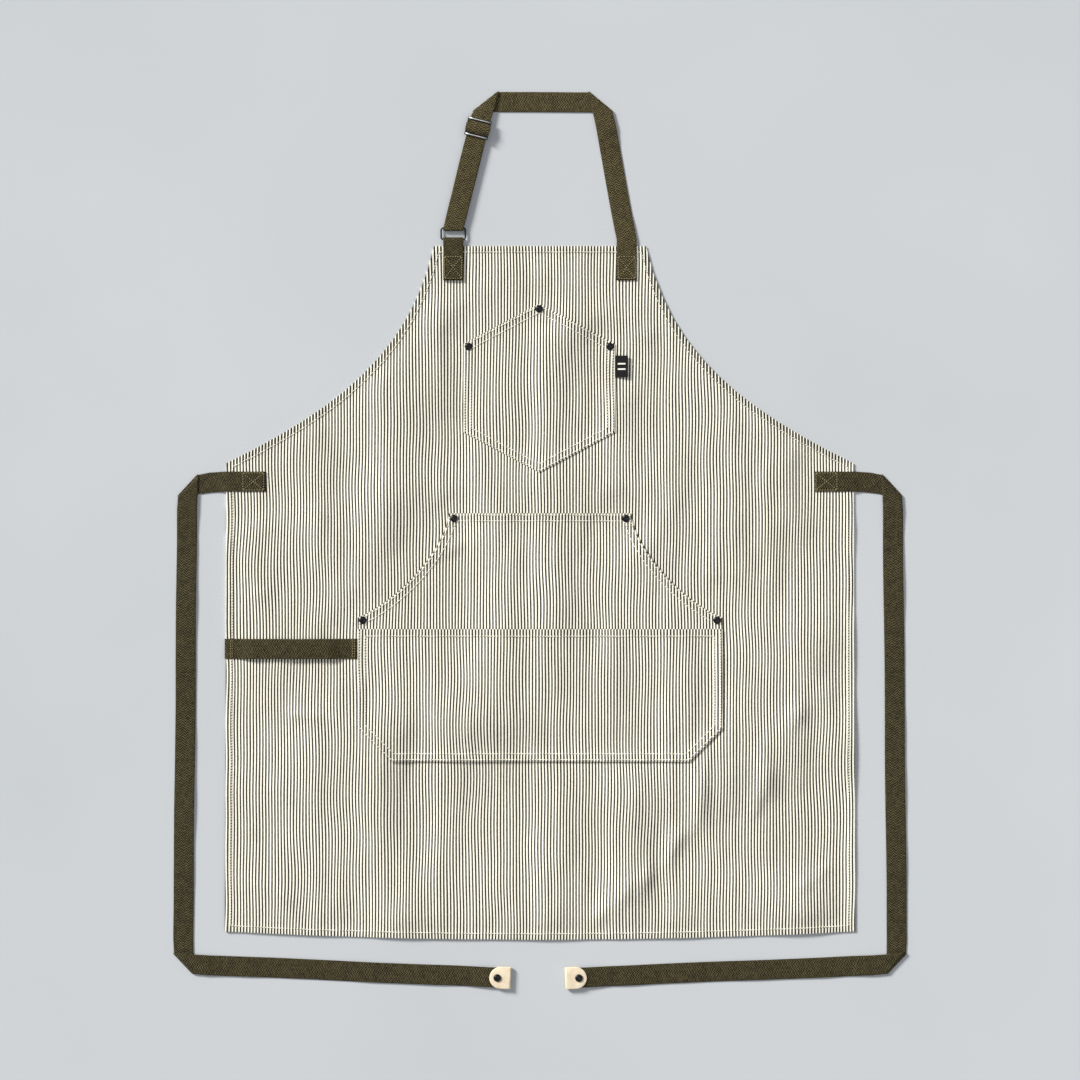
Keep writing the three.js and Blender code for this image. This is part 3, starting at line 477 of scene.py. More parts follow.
def mouth_curve():
    """The right-hand slanted mouth, from the pocket's side up to its top."""
    side, top = box["hand_pocket"][1][:2]
    low = top - HAND_MOUTH_DROP
    return bezier([
        (side, low),
        (side - MOUTH_LOW_PULL[0], low + MOUTH_LOW_PULL[1]),
        (HAND_TOP_HALF + MOUTH_HIGH_PULL[0], top - MOUTH_HIGH_PULL[1]),
        (HAND_TOP_HALF, top),
    ], 12)


def pocket_base():
    """The two lower corners on the right, bottom first."""
    low, high = box["hand_pocket"]
    return [(high[0] - HAND_CORNER, low[1]), (high[0], low[1] + HAND_CORNER)]


def mirrored(points):
    return [(-x, y) for x, y in points][::-1]


def hand_pocket_outline():
    right = pocket_base() + [tuple(point) for point in mouth_curve()]
    return np.array(right + mirrored(right))


def front_pocket_outline():
    right = pocket_base() + [(box["front_pocket"][1][0], box["front_pocket"][1][1])]
    return np.array(right + mirrored(right))


BIB_OUTLINE = bib_pocket_outline()
HAND_OUTLINE = hand_pocket_outline()
FRONT_OUTLINE = front_pocket_outline()

# ---------------------------------------------------------------- Materials


class Surface:
    """A material in the making. Most steps add one shader node and give back its output."""

    def __init__(self, name):
        self.material = bpy.data.materials.new(name)
        self.material.use_nodes = True
        self.tree = self.material.node_tree

    def put(self, node, inputs):
        """Sets each input to a number or a colour, or links it to another node's output."""
        for socket, value in inputs.items():
            target = node.inputs[socket]
            if isinstance(value, bpy.types.NodeSocket):
                self.tree.links.new(value, target)
            else:
                target.default_value = (*value, 1) if target.type == "RGBA" else value

    def add(self, kind, inputs, output=0, **settings):
        node = self.tree.nodes.new("ShaderNode" + kind)
        for name, value in settings.items():
            setattr(node, name, value)
        self.put(node, inputs)
        return node.outputs[output]

    def maths(self, operation, *values):
        return self.add("Math", dict(enumerate(values)), operation=operation)

    def plus(self, first, second):
        return self.maths("ADD", first, second)

    def minus(self, first, second):
        return self.maths("SUBTRACT", first, second)

    def times(self, first, second):
        return self.maths("MULTIPLY", first, second)

    def times_plus(self, first, second, third):
        return self.maths("MULTIPLY_ADD", first, second, third)

    def away(self, value, middle):
        return self.maths("ABSOLUTE", self.minus(value, middle))

    def sine(self, value, pitch):
        return self.maths("SINE", self.times(value, 2 * math.pi / pitch))

    def flat(self):
        """The place in the flat cut piece: as a vector, then across and along."""
        uv = self.add("UVMap", {}, uv_map="flat")
        across = self.add("SeparateXYZ", {0: uv})
        return uv, across, across.node.outputs[1]

    def place(self):
        return self.add("TexCoord", {}, "Object")

    def noise(self, vector, scale, detail, stretch=(1, 1, 1)):
        stretched = self.add("Mapping", {"Vector": vector, "Scale": stretch})
        return self.add("TexNoise", {"Vector": stretched, "Scale": scale, "Detail": detail}, "Fac")

    def ramp(self, value, *stops):
        colour_out = self.add("ValToRGB", {0: value})
        elements = colour_out.node.color_ramp.elements
        while len(elements) < len(stops):
            elements.new(0.5)
        for element, (place, colour) in zip(elements, stops):
            element.position = place
            element.color = (*colour, 1)
        return colour_out

    def mixed(self, share, first, second, blend="MIX"):
        return self.add("Mix", {0: share, 6: first, 7: second}, 2, data_type="RGBA", blend_type=blend)

    def bump(self, height, distance, strength=1.0):
        return self.add("Bump", {"Height": height, "Distance": distance, "Strength": strength})

    def done(self, inputs):
        """The finished material, once its shader has these inputs."""
        self.put(self.tree.nodes["Principled BSDF"], inputs)
        return self.material


def grey(level):
    return (level, level, level)


def striped_cotton():
    """Cream twill with a charcoal line every STRIPE_PITCH, each a little different in weight and tone."""
    surface = Surface("striped_cotton")
    uv, across, along = surface.flat()
    fuzz = surface.noise(uv, 900, 2, (1, 0.35, 1))
    wobble = surface.times(surface.minus(fuzz, 0.5), LINE_WOBBLE)
    stripe = surface.maths("DIVIDE", surface.plus(across, wobble), STRIPE_PITCH)
    number = surface.maths("FLOOR", stripe)
    chance = surface.add("TexWhiteNoise", {"W": number}, "Value", noise_dimensions="1D")
    from_line = surface.away(surface.maths("FRACT", stripe), 0.5)
    # Painted shade: the charcoal lines are drawn wider along sewn edges, most at the armholes.
    seam = surface.add("Attribute", {}, "Fac", attribute_name="seam")
    half_line = surface.times_plus(seam, 0.07, surface.times_plus(chance, 0.05, 0.245))
    inside_line = surface.minus(half_line, from_line)
    dark = surface.ramp(inside_line, (0.0, grey(0)), (0.02, grey(0.55)), (0.05, grey(1)))
    tone = surface.times_plus(surface.noise(uv, 60, 2, (4, 0.3, 1)), 0.5, surface.times(chance, 0.5))
    charcoal = surface.ramp(tone, (0.2, grey(0.006)), (0.5, (0.018, 0.016, 0.011)),
                            (0.8, (0.050, 0.042, 0.025)))
    cream = surface.ramp(surface.noise(uv, 9, 4), (0.3, (0.84, 0.81, 0.69)), (0.7, (0.92, 0.895, 0.78)))
    slub = surface.noise(uv, 420, 3, (1, 0.2, 1))
    cream = surface.mixed(surface.times(slub, 0.2), cream, (0.62, 0.58, 0.46), "MULTIPLY")
    twill = surface.sine(surface.plus(across, surface.times(along, 0.7)), TWILL_PITCH)
    return surface.done({
        "Base Color": surface.mixed(dark, cream, charcoal),
        "Normal": surface.bump(surface.plus(surface.times(twill, 0.25), slub), 0.12 * MM),
        "Roughness": surface.plus(surface.times(slub, 0.15), 0.8),
        "Sheen Weight": 0.08,
        "Sheen Roughness": 0.6,
        "Specular IOR Level": 0.2,
    })


def olive_webbing(name, dark, usual, light):
    """Heavy cotton webbing: herringbone ribs that turn at lines along the strap, with tan flecks."""
    surface = Surface(name)
    uv, across, along = surface.flat()
    lane = surface.maths("PINGPONG", across, WEAVE_LANE)
    climb = surface.plus(along, surface.times(lane, 1.1))
    rib = surface.sine(surface.times_plus(surface.noise(uv, 160, 2), 0.9 * MM, climb), WEAVE_RIB)
    weave = surface.times_plus(rib, 0.42, surface.times(surface.sine(across, WEAVE_YARN), 0.12))
    fuzz = surface.noise(uv, 400, 3)
    tone = surface.plus(surface.times(weave, 0.9), fuzz)
    tone = surface.times_plus(surface.minus(surface.noise(uv, 110, 3), 0.5), 0.5, tone)
    return surface.done({
        "Base Color": surface.ramp(tone, (0.2, dark), (0.55, usual), (0.9, light)),
        "Normal": surface.bump(surface.plus(weave, surface.times(fuzz, 0.9)), 0.35 * MM),
        "Roughness": 0.85,
        "Sheen Weight": 0.05,
        "Specular IOR Level": 0.2,
    })


def thread_material(name, light, dark):
    """Twisted sewing thread."""
    surface = Surface(name)
    twist = surface.noise(surface.place(), 2600, 2)
    return surface.done({
        "Base Color": surface.ramp(twist, (0.3, dark), (0.65, light)),
        "Normal": surface.bump(twist, 0.08 * MM),
        "Roughness": 0.65,
    })


def dark_metal(name, colour, edge, roughness, metallic):
    """Plated metal with faint handling marks."""
    surface = Surface(name)
    place = surface.place()
    smudge = surface.noise(place, 380, 4)
    scratch = surface.noise(place, 2400, 2, (1, 6, 1))
    return surface.done({
        "Base Color": surface.ramp(smudge, (0.35, colour), (0.75, edge)),
        "Roughness": surface.times_plus(smudge, 0.2, roughness),
        "Normal": surface.bump(scratch, 0.02 * MM),
        "Metallic": metallic,
    })


def cream_leather():
    """Undyed leather: fine pores, slightly darker where it is handled."""
    surface = Surface("cream_leather")
    place = surface.place()
    tone = surface.noise(place, 120, 4)
    pores = surface.add("TexVoronoi", {"Vector": place, "Scale": 1500}, "Distance")
    return surface.done({
        "Base Color": surface.ramp(tone, (0.3, (0.60, 0.49, 0.35)), (0.65, (0.72, 0.62, 0.46))),
        "Normal": surface.bump(pores, 0.1 * MM, 0.6),
        "Roughness": surface.times_plus(tone, 0.2, 0.45),
    })


def black_label():
    """Black damask with two plain pale bars woven in."""
    surface = Surface("black_label")
    uv, across, along = surface.flat()
    middle = centre("woven_label")
    bar = surface.maths("COMPARE", surface.away(along, middle[1]), LABEL_BAR_AT, LABEL_BAR_HALF[1])
    within = surface.maths("LESS_THAN", surface.away(across, middle[0]), LABEL_BAR_HALF[0])
    grain = surface.noise(uv, 900, 2)
    black = surface.ramp(grain, (0.3, grey(0.003)), (0.7, (0.010, 0.010, 0.011)))
    weft = surface.times(surface.sine(along, 0.45 * MM), 0.3)
    return surface.done({
        "Base Color": surface.mixed(surface.times(bar, within), black, (0.72, 0.70, 0.62)),
        "Normal": surface.bump(surface.plus(weft, grain), 0.1 * MM),
        "Roughness": 0.7,
        "Specular IOR Level": 0.15,
    })


def pale_floor():
    surface = Surface("pale_floor")
    tone = surface.noise(surface.place(), 2.0, 3)
    colour = surface.ramp(tone, (0.3, (0.43, 0.45, 0.47)), (0.7, (0.46, 0.48, 0.50)))
    return surface.done({"Base Color": colour, "Roughness": 0.9})


COTTON = striped_cotton()
OLIVE = olive_webbing("olive_webbing", (0.004, 0.0035, 0.001), (0.021, 0.017, 0.0055), (0.110, 0.088, 0.036))
NECK_OLIVE = olive_webbing("olive_webbing_neck", (0.007, 0.0055, 0.002), (0.036, 0.028, 0.009),
                           (0.145, 0.115, 0.045))
CREAM_THREAD = thread_material("cream_thread", (0.86, 0.84, 0.72), (0.62, 0.60, 0.48))
OLIVE_THREAD = thread_material("olive_thread", (0.30, 0.25, 0.13), (0.16, 0.13, 0.06))
BLACK_METAL = dark_metal("black_metal", (0.012, 0.012, 0.013), (0.04, 0.04, 0.042), 0.22, 0.85)
GUNMETAL = dark_metal("gunmetal", (0.07, 0.07, 0.072), (0.16, 0.16, 0.165), 0.22, 1.0)
# Painted highlight: pale metal for the bright lines along the slider's outer bars.
PAINTED_HIGHLIGHT_METAL = dark_metal("worn_metal", (0.55, 0.55, 0.54), (0.75, 0.75, 0.73), 0.34, 0.35)
LEATHER = cream_leather()
LABEL = black_label()

# ---------------------------------------------------------------- Straps


def heading_vector(heading):
    return np.array([math.cos(heading), math.sin(heading), 0.0])


def section(place, heading, up=UP):
    """A strap's cross-section: its middle, half its width towards the left edge, and its face's normal."""
    half = np.cross(up, heading_vector(heading)) * WEBBING_WIDTH / 2
    return np.array(place, float), half, np.array(up, float)


def between(sections, step=STRAP_STEP):
    """The same strap with a section at least every step."""
    line = []
    for first, second in zip(sections, sections[1:]):
        steps = max(1, math.ceil(np.linalg.norm(second[0] - first[0]) / step))
        for i in range(steps):
            mid, half, up = (lerp(a, b, i / steps) for a, b in zip(first, second))
            line.append((mid, half, up / np.linalg.norm(up)))
    return line + [sections[-1]]


EDGE_PROFILE = [(-1.0, 0.35), (-0.97, 0.75), (-0.88, 1.0), (-0.4, 0.97), (0.0, 1.0), (0.4, 0.97), (0.88, 1.0),
                (0.97, 0.75), (1.0, 0.35)]


def strap(name, sections, body=None, material=OLIVE, thickness=WEBBING, start=0.0, lift=0.0, seed=1):
    """Flat webbing with rounded selvedges along the sections, in soft waves of up to lift where it lies free.

    Its flat coordinates are the place across it and the distance along it from start.
    """
    line = between(sections)
    mids = np.array([mid for mid, half, up in line])
    reached = np.concatenate([[0], np.cumsum(np.linalg.norm(np.diff(mids, axis=0), axis=1))])
    runs = np.gradient(mids, axis=0)
    runs /= np.linalg.norm(runs, axis=1)[:, None]
    phases = np.random.default_rng(seed).uniform(0, 2 * math.pi, 4)
    open_share = smoothstep(np.minimum(reached, reached[-1] - reached), 40 * MM, 90 * MM)

    def swell(along, length, kind):
        return math.sin(along / length + phases[kind])

    top, under, cuts = [], [], []
    for (mid, half, up), run, far, free in zip(line, runs, reached, open_share):
        skew = float(half @ run)
        for aside, fullness in EDGE_PROFILE:
            along = start + far + aside * skew
            raised = 0.5 + 0.25 * swell(along, 31 * MM, 0) + 0.25 * swell(along, 13 * MM, 1)
            curl = 0.5 * aside * swell(along, 47 * MM, 2)
            height = lift * free * max(0.0, raised + curl)
            sway = 0.35 * MM * free * swell(along, 41 * MM, 3)
            hub = mid + half * aside + UP * height + half / np.linalg.norm(half) * sway
            top.append(hub + up * fullness * thickness / 2)
            under.append(hub - up * fullness * thickness / 2)
            cuts.append((aside * WEBBING_WIDTH / 2, along))
    thing = make_object(name, top + under, ribbon_faces(len(line), len(EDGE_PROFILE)), material, cuts + cuts)
    if body:
        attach(thing, body)
    return thing


def crease(place, arriving, leaving, up=UP):
    """A slanted fold at a place: half its own line, and the way out of it."""
    along = heading_vector((arriving + leaving) / 2)
    half = along * (WEBBING_WIDTH / 2) / (along @ np.cross(up, heading_vector(arriving)))
    outward = heading_vector(arriving) - heading_vector(leaving)
    flat_place = np.array([place[0], place[1], 0.0])
    return {"place": flat_place, "half": half, "outward": outward / np.linalg.norm(outward)}


def fold_turn(fold, lower, radius, start, end, steps=8):
    """The half turn of a strap round a crease, between angles in degrees from outward."""
    hub = fold["place"] + UP * (lower + radius) - fold["outward"] * (radius + WEBBING / 2)
    turn = []
    for angle in np.radians(np.linspace(start, end, steps + 1)):
        up = fold["outward"] * math.cos(angle) + UP * math.sin(angle)
        turn.append((hub + up * radius, fold["half"], up))
    return turn


def fold_end(fold, heading, height, radius):
    """The flat strap's own section where the half turn takes over, facing up whichever way it runs."""
    left = np.cross(UP, heading_vector(heading))
    place = fold["place"] - fold["outward"] * (radius + WEBBING / 2) + UP * height
    return place, fold["half"] * np.sign(left @ fold["half"]), UP


def bar_turn(place, radius, start, end, steps=12):
    """A strap's turn round a bar along X, between angles in degrees from +Y."""
    turn = []
    for angle in np.radians(np.linspace(start, end, steps + 1)):
        up = np.array([0.0, math.cos(angle), math.sin(angle)])
        turn.append((np.array(place) + up * radius, np.array([WEBBING_WIDTH / 2, 0.0, 0.0]), up))
    return turn


# ---------------------------------------------------------------- Stitches


# A stitch's cross-sections: share of its length, share of its thickness, and rise in thicknesses.
STITCH_RINGS = [(0.0, 0.25, -0.5), (0.22, 0.9, 0.35), (0.5, 1.0, 0.6), (0.78, 0.9, 0.35), (1.0, 0.25, -0.5)]
STITCH_SIDES = 6


def one_stitch(start, end):
    """A short oval of thread that dips into the cloth at both ends, as points and faces."""
    along = end - start
    side = np.cross(UP, along / np.linalg.norm(along))
    side /= np.linalg.norm(side)
    points = []
    for share, fullness, lift in STITCH_RINGS:
        hub = start + along * share + UP * lift * THREAD
        for angle in around(STITCH_SIDES):
            reach = side * math.cos(angle) + UP * math.sin(angle)
            points.append(hub + reach * fullness * THREAD)
    rings = len(STITCH_RINGS)
    return points, side_faces(rings, STITCH_SIDES) + end_faces(rings, STITCH_SIDES)


def stitches_along(line, height_at, length=STITCH, gap=STITCH_GAP, closed=False):
    """Evenly spaced stitches on a surface, along a line of points."""
    line = np.array(line, float)
    if closed:
        line = np.vstack([line, line[:1]])
    reached = np.concatenate([[0], np.cumsum(np.linalg.norm(np.diff(line, axis=0), axis=1))])
    count = max(1, int(reached[-1] // (length + gap)))
    pitch = reached[-1] / count
    starts = (np.arange(count) + 0.5) * pitch - length / 2

    def at(distance):
        flat = np.column_stack([np.interp(distance, reached, line[:, axis]) for axis in (0, 1)])
        return np.column_stack([flat, height_at(flat)])

    return list(zip(at(starts), at(starts + length)))


def strap_stitches(line, height_at):
    return stitches_along(line, height_at, STRAP_STITCH, STRAP_STITCH_GAP)


def level(height):
    return lambda points: np.full(len(points), height)


def above(top, gap=0.1 * MM):
    return lambda points: top(points) + gap


# ---------------------------------------------------------------- Cloth pieces


def pocket_ease(points, outline, open_edges):
    """How far a pocket stands off the cloth below: nothing along its seams, a little elsewhere."""
    seams = [edge for edge in zip(outline, np.roll(outline, -1, axis=0)) if not open_edges(*edge)]
    least = np.full(len(points), np.inf)
    for start, end in seams:
        least = np.minimum(least, to_line(points, [start, end], closed=False))
    for rivet in RIVETS:
        least = np.minimum(least, np.linalg.norm(points - rivet[:2], axis=1))
    return POCKET_EASE * smoothstep(least, SEAM_BAND, SEAM_BAND + EASE_RAMP)


def turned_edge(depth):
    """Extra height where the edge is turned under and sewn."""
    return POCKET_TURNING * (1 - smoothstep(depth, TURNED_FLAT, TURNED_END))


def pocket_top(outline, below, open_edges):
    """The height function of a pocket that lies on another height, one layer of cloth up."""
    def top(points, depth=None):
        depth = to_line(points, outline) if depth is None else depth
        stand = pocket_ease(points, outline, open_edges)
        return below(points) + LAY_GAP + CLOTH + stand + turned_edge(depth)

    return top


def bib_open(a, b):
    return (a[1] + b[1]) / 2 > BIB_OUTLINE[2][1]


def hand_open(a, b):
    side = a[0] == b[0] or a[1] == b[1]
    return not side and (a[1] + b[1]) / 2 > box["front_pocket"][1][1]


def front_open(a, b):
    return min(a[1], b[1]) > box["front_pocket"][1][1] - MM


bib_top = pocket_top(BIB_OUTLINE, panel_top, bib_open)
hand_top = pocket_top(HAND_OUTLINE, panel_top, hand_open)
front_top = pocket_top(FRONT_OUTLINE, hand_top, front_open)


def panel_cloth():
    def under(depth, top):
        return np.where(depth < HEM, 0.02 * MM, top - CLOTH)

    def top(points, depth):
        ridge = 0.3 * MM * (1 - smoothstep(depth, HEM - MM, HEM + MM)) * smoothstep(depth, 0, 2 * MM)
        return panel_top(points) + ridge

    bands = (0, MM, HEM - 1.2 * MM, HEM, HEM + 1.5 * MM)
    high_edge = PANEL_OUTLINE[:, 1].max()

    def armhole_painted_shade(flat, depth):
        """Painted shade: the rolled armhole hems are drawn as the darkest edges."""
        on_side = np.minimum(flat[:, 1] - WAIST_Y, high_edge - 6 * MM - flat[:, 1])
        return painted_seam_shade(flat, depth) * (1 + 3 * smoothstep(on_side, -4 * MM, 4 * MM))

    cloth = cloth_piece("apron_cloth", PANEL_OUTLINE, bands, top, under, painted_shade_at=armhole_painted_shade)
    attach(cloth, "apron")
    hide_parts("apron_panel")
    return cloth


def pocket_cloth(name, node, outline, top, shift):
    def under(depth, high):
        return high - CLOTH - turned_edge(depth)

    bands = (0, 0.8 * MM, TURNED_FLAT - MM, TURNED_END)
    cloth = cloth_piece(name, outline, bands, top, under, shift, spacing=5 * MM)
    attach(cloth, "apron")
    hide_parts(node)
    return cloth


def loop_area(loop):
    x, y = loop[:, 0], loop[:, 1]
    return float(abs((x * np.roll(y, -1) - y * np.roll(x, -1)).sum()) / 2)


def declare_cloth(outline):
    """Works out the size and area the piece was cut to, with its turnings, and keeps neither."""
    size = tuple(float(side) for side in outline.max(0) - outline.min(0) + 2 * HEM)
    area = min(loop_area(inset(outline, -HEM)), size[0] * size[1])


def ride_stitches(name, rows, material=CREAM_THREAD):
    """Many single stitches as one piece. Each is (start, end) of the thread that shows."""
    sewn = merged(name, [one_stitch(start, end) for start, end in rows], material)
    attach(sewn, "apron")
    return sewn


def sewing_loop(outline, depth):
    return resampled(inset(outline, depth), SEWING_STEP, closed=True)


def build_cloth():
    panel = panel_cloth()
    rows = stitches_along(sewing_loop(PANEL_OUTLINE, HEM_ROW), above(panel_top, 0.35 * MM), closed=True)
    hem_rows = ride_stitches("hem_stitches", rows)

    bib = pocket_cloth("bib_pocket_cloth", "bib_pocket", BIB_OUTLINE, bib_top, BIB_STRIPE_SHIFT)
    rows = []
    for depth in POCKET_ROWS:
        rows += stitches_along(sewing_loop(BIB_OUTLINE, depth), above(bib_top), closed=True)
    bib_stitches = ride_stitches("bib_pocket_stitches", rows)

    hand = pocket_cloth("hand_pocket_cloth", "hand_pocket", HAND_OUTLINE, hand_top, HAND_STRIPE_SHIFT)
    front_edge = box["front_pocket"][1][1]
    rows = []
    for depth in POCKET_ROWS:
        loop = sewing_loop(HAND_OUTLINE, depth)
        start = int(np.argmax((loop[:, 1] > front_edge) & (np.roll(loop[:, 1], 1) <= front_edge)))
        loop = np.roll(loop, -start, axis=0)
        rows += stitches_along(loop[loop[:, 1] > front_edge + MM], above(hand_top))
    hand_stitches = ride_stitches("hand_pocket_stitches", rows)

    front = pocket_cloth("front_pocket_cloth", "front_pocket", FRONT_OUTLINE, front_top, FRONT_STRIPE_SHIFT)
    rows = []
    for depth in POCKET_ROWS:
        line = inset(FRONT_OUTLINE, depth)
        down = [line[i] for i in (3, 4, 5, 0, 1, 2)]
        rows += stitches_along(resampled(down, SEWING_STEP), above(front_top))
    mouth = inset(FRONT_OUTLINE, MOUTH_ROW)[2:4]
    rows += stitches_along(resampled(mouth, SEWING_STEP), above(front_top))
    front_stitches = ride_stitches("front_pocket_stitches", rows)

    declare_cloth(PANEL_OUTLINE)
    declare_cloth(BIB_OUTLINE)
    declare_cloth(HAND_OUTLINE)
    declare_cloth(FRONT_OUTLINE)


# ---------------------------------------------------------------- Turned and round pieces


def revolved(name, profile, place, material, sides=40):
    """A turned piece from a profile of (radius, height) that starts and ends on its axis."""
    rings = profile[1:-1]
    points = [point for radius, height in rings for point in circle(place, radius, height, sides)]
    first, last = len(points), len(points) + 1
    points += [(place[0], place[1], height) for radius, height in (profile[0], profile[-1])]
    faces = side_faces(len(rings), sides)
    top = (len(rings) - 1) * sides
    for k in range(sides):
        faces.append((first, (k + 1) % sides, k))
        faces.append((last, top + k, top + (k + 1) % sides))
    return sharpen(make_object(name, points, faces, material))


def round_bar(path, radii, closed=False, sides=16):
    """Points and faces of a bar with an oval section (half width, half height) along a level path."""
    path = np.array(path, float)
    count = len(path)
    points = []
    for i, place in enumerate(path):
        before = path[i - 1] if closed or i else place
        after = path[(i + 1) % count] if closed or i + 1 < count else place
        run = (after - before) / np.linalg.norm(after - before)
        side = np.cross(UP, run)
        side /= np.linalg.norm(side)
        lift = np.cross(run, side)
        points += [place + side * radii[0] * math.cos(angle) + lift * radii[1] * math.sin(angle)
                   for angle in around(sides)]
    faces = side_faces(count, sides, closed)
    return points, faces if closed else faces + end_faces(count, sides)


def rounded_loop(width, length, corner, steps=6):
    """A rectangle with round corners about the origin, counter-clockwise."""
    loop = []
    for turn, (across, up) in enumerate([(1, 1), (-1, 1), (-1, -1), (1, -1)]):
        for i in range(steps + 1):
            angle = math.pi / 2 * (turn + i / steps)
            loop.append((across * (width / 2 - corner) + corner * math.cos(angle),
                         up * (length / 2 - corner) + corner * math.sin(angle), 0.0))
    return loop


# ---------------------------------------------------------------- Rivets and label


def turned_metal(name, ending, body, profile):
    thing = revolved(name + ending, profile, centre(name), BLACK_METAL)
    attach(thing, body)
    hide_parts(name)


def rivet_cap(name, body):
    """A domed cap with a rolled rim and a small dimple, pressed into the cloth."""
    low, high = box[name]
    radius = (high[0] - low[0]) / 2
    seat = high[2] - CAP_HEIGHT
    rim = [(0.86, 0), (0.97, 0.12), (1, 0.3), (0.97, 0.5), (0.9, 0.6), (0.84, 0.56), (0.78, 0.62)]
    profile = [(0, seat - 0.3 * MM), (0.3 * radius, seat - 0.3 * MM), (0.3 * radius, seat)]
    profile += [(share * radius, seat + rise * CAP_HEIGHT) for share, rise in rim]
    for angle in np.radians(range(15, 90, 15)):
        rise = lerp(0.62, 1.0, math.sin(angle))
        profile.append((0.78 * radius * math.cos(angle), seat + rise * CAP_HEIGHT))
    profile.append((0, high[2]))
    turned_metal(name, "_dome", body, profile)


def rivet_tack(name, body):
    """The flat head on the back, with a rolled edge and a nail dimple."""
    low, high = box[name]
    radius = (high[0] - low[0]) / 2
    shape = [(0, 0.5), (0.2, 0.4), (0.34, 0), (0.85, 0), (0.97, 0.2), (1, 0.5), (0.96, 1), (0, 1)]
    profile = [(share * radius, lerp(low[2], high[2], rise)) for share, rise in shape]
    turned_metal(name, "_head", body, profile)


def build_rivets():
    for name in box:
        if name.endswith("_cap"):
            body = name[:name.index("_tip")] + "_tie_tail" if "tip" in name else "apron"
            rivet_cap(name, body)
            rivet_tack(name.replace("_cap", "_tack"), body)


def build_label():
    """A folded woven label: two layers with a soft outer fold, standing a little off the cloth."""
    low, high = box["woven_label"]
    middle = (low[1] + high[1]) / 2
    half = np.array([0, (high[1] - low[1]) / 2, 0.0])
    base = low[2] + LABEL_LAYER / 2
    fold = high[0] - 0.55 * MM

    def across(x, height, up=UP):
        return np.array([x, middle, height]), half, up

    hub = np.array([fold, middle, base + LABEL_FOLD / 2])
    line = [across(low[0], base, DOWN), across(fold, base, DOWN)]
    for angle in np.radians(np.linspace(-60, 60, 5)):
        up = np.array([math.cos(angle), 0.0, math.sin(angle)])
        line.append((hub + up * LABEL_FOLD / 2, half, up))
    upper = base + LABEL_FOLD
    line += [across(fold, upper), across(lerp(low[0], high[0], 0.5), upper + 0.25 * MM),
             across(low[0] + 0.4 * MM, upper)]
    line = [(mid + UP * LABEL_RISE * smoothstep(mid[0], low[0] + MM, high[0]), half, up)
            for mid, half, up in line]
    label = label_mesh("label_cloth", line)
    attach(label, "label")
    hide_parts("woven_label")


def label_mesh(name, line):
    """The label's folded strip. Its flat coordinates are its own places in the plane of the cloth."""
    line = between(line, 1.5 * MM)
    top, under, cuts = [], [], []
    shares = np.linspace(-1, 1, 9)
    for mid, half, up in line:
        for share in shares:
            hub = mid + half * share
            top.append(hub + up * LABEL_LAYER / 2)
            under.append(hub - up * LABEL_LAYER / 2)
            cuts.append((hub[0], hub[1]))
    faces = [face[::-1] for face in ribbon_faces(len(line), len(shares))]
    return sharpen(make_object(name, top + under, faces, LABEL, cuts + cuts))


# ---------------------------------------------------------------- Towel loop


def box_stitch(corner, across, up, height):
    """A sewn box with a cross in it, between two edges given as vectors."""
    a, b, c, d = corner, corner + across, corner + across + up, corner + up
    rows = []
    for line in ([a, b], [b, c], [c, d], [d, a], [a, c], [b, d]):
        rows += strap_stitches([point[:2] for point in line], height)
    return rows


def build_towel_loop():
    low, high = box["towel_loop"]
    y = (low[1] + high[1]) / 2
    start, end = low[0], high[0]
    rise = high[2] - low[2] - WEBBING
    sections = []
    for x in np.linspace(start, end, 40):
        lifted = smoothstep(min(x - start, end - x), SEAM_BAND, SEAM_BAND + 25 * MM) * rise
        sections.append(section((x, y, low[2] + WEBBING / 2 + lifted), 0.0))
    loop = strap("towel_loop_webbing", sections, "apron", lift=0.4 * MM, seed=5)
    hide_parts("towel_loop")
    top = level(low[2] + WEBBING + STRAP_THREAD_RISE)
    half = WEBBING_WIDTH / 2 - 1.5 * MM
    rows = []
    for x in (start + 7.2 * MM, start + 9.2 * MM, end - 3.5 * MM, end - 6 * MM):
        rows += strap_stitches([(x, y - half), (x, y + half)], top)
    sewn = ride_stitches("towel_loop_stitches", rows, OLIVE_THREAD)


# ---------------------------------------------------------------- Neck strap, ring and slider


def neck_layout():
    """The measures of the neck strap, from the frame's own pieces."""
    fold = joints["neck_loop_fold"]["pos_m"]
    return {
        "fold_y": fold[1],
        "bar_z": fold[2],
        "front_z": fold[2] + WRAP_RADIUS,
        "ring_x": joints["ring_pivot"]["pos_m"][0],
        "strap_x": centre("neck_strap_sewn_end")[0],
        "top_bar_y": box["neck_ring"][1][1] - RING_WIRE,
        "patch_bottom": box["neck_ring_tab"][0][1],
        "patch_z": box["neck_strap_sewn_end"][1][2] - WEBBING / 2,
        "patch_top": box["apron_panel"][1][1],
        "top_y": box["neck_strap"][1][1] - WEBBING_WIDTH / 2,
        "slider": centre("slider_frame"),
    }


def strap_line(layout, distance):
    """A place on the adjustable side, by its distance from the ring's upper bar."""
    x, y = layout["ring_x"], layout["top_bar_y"]
    return x + distance * math.sin(LEAN_LEFT), y + distance * math.cos(LEAN_LEFT)


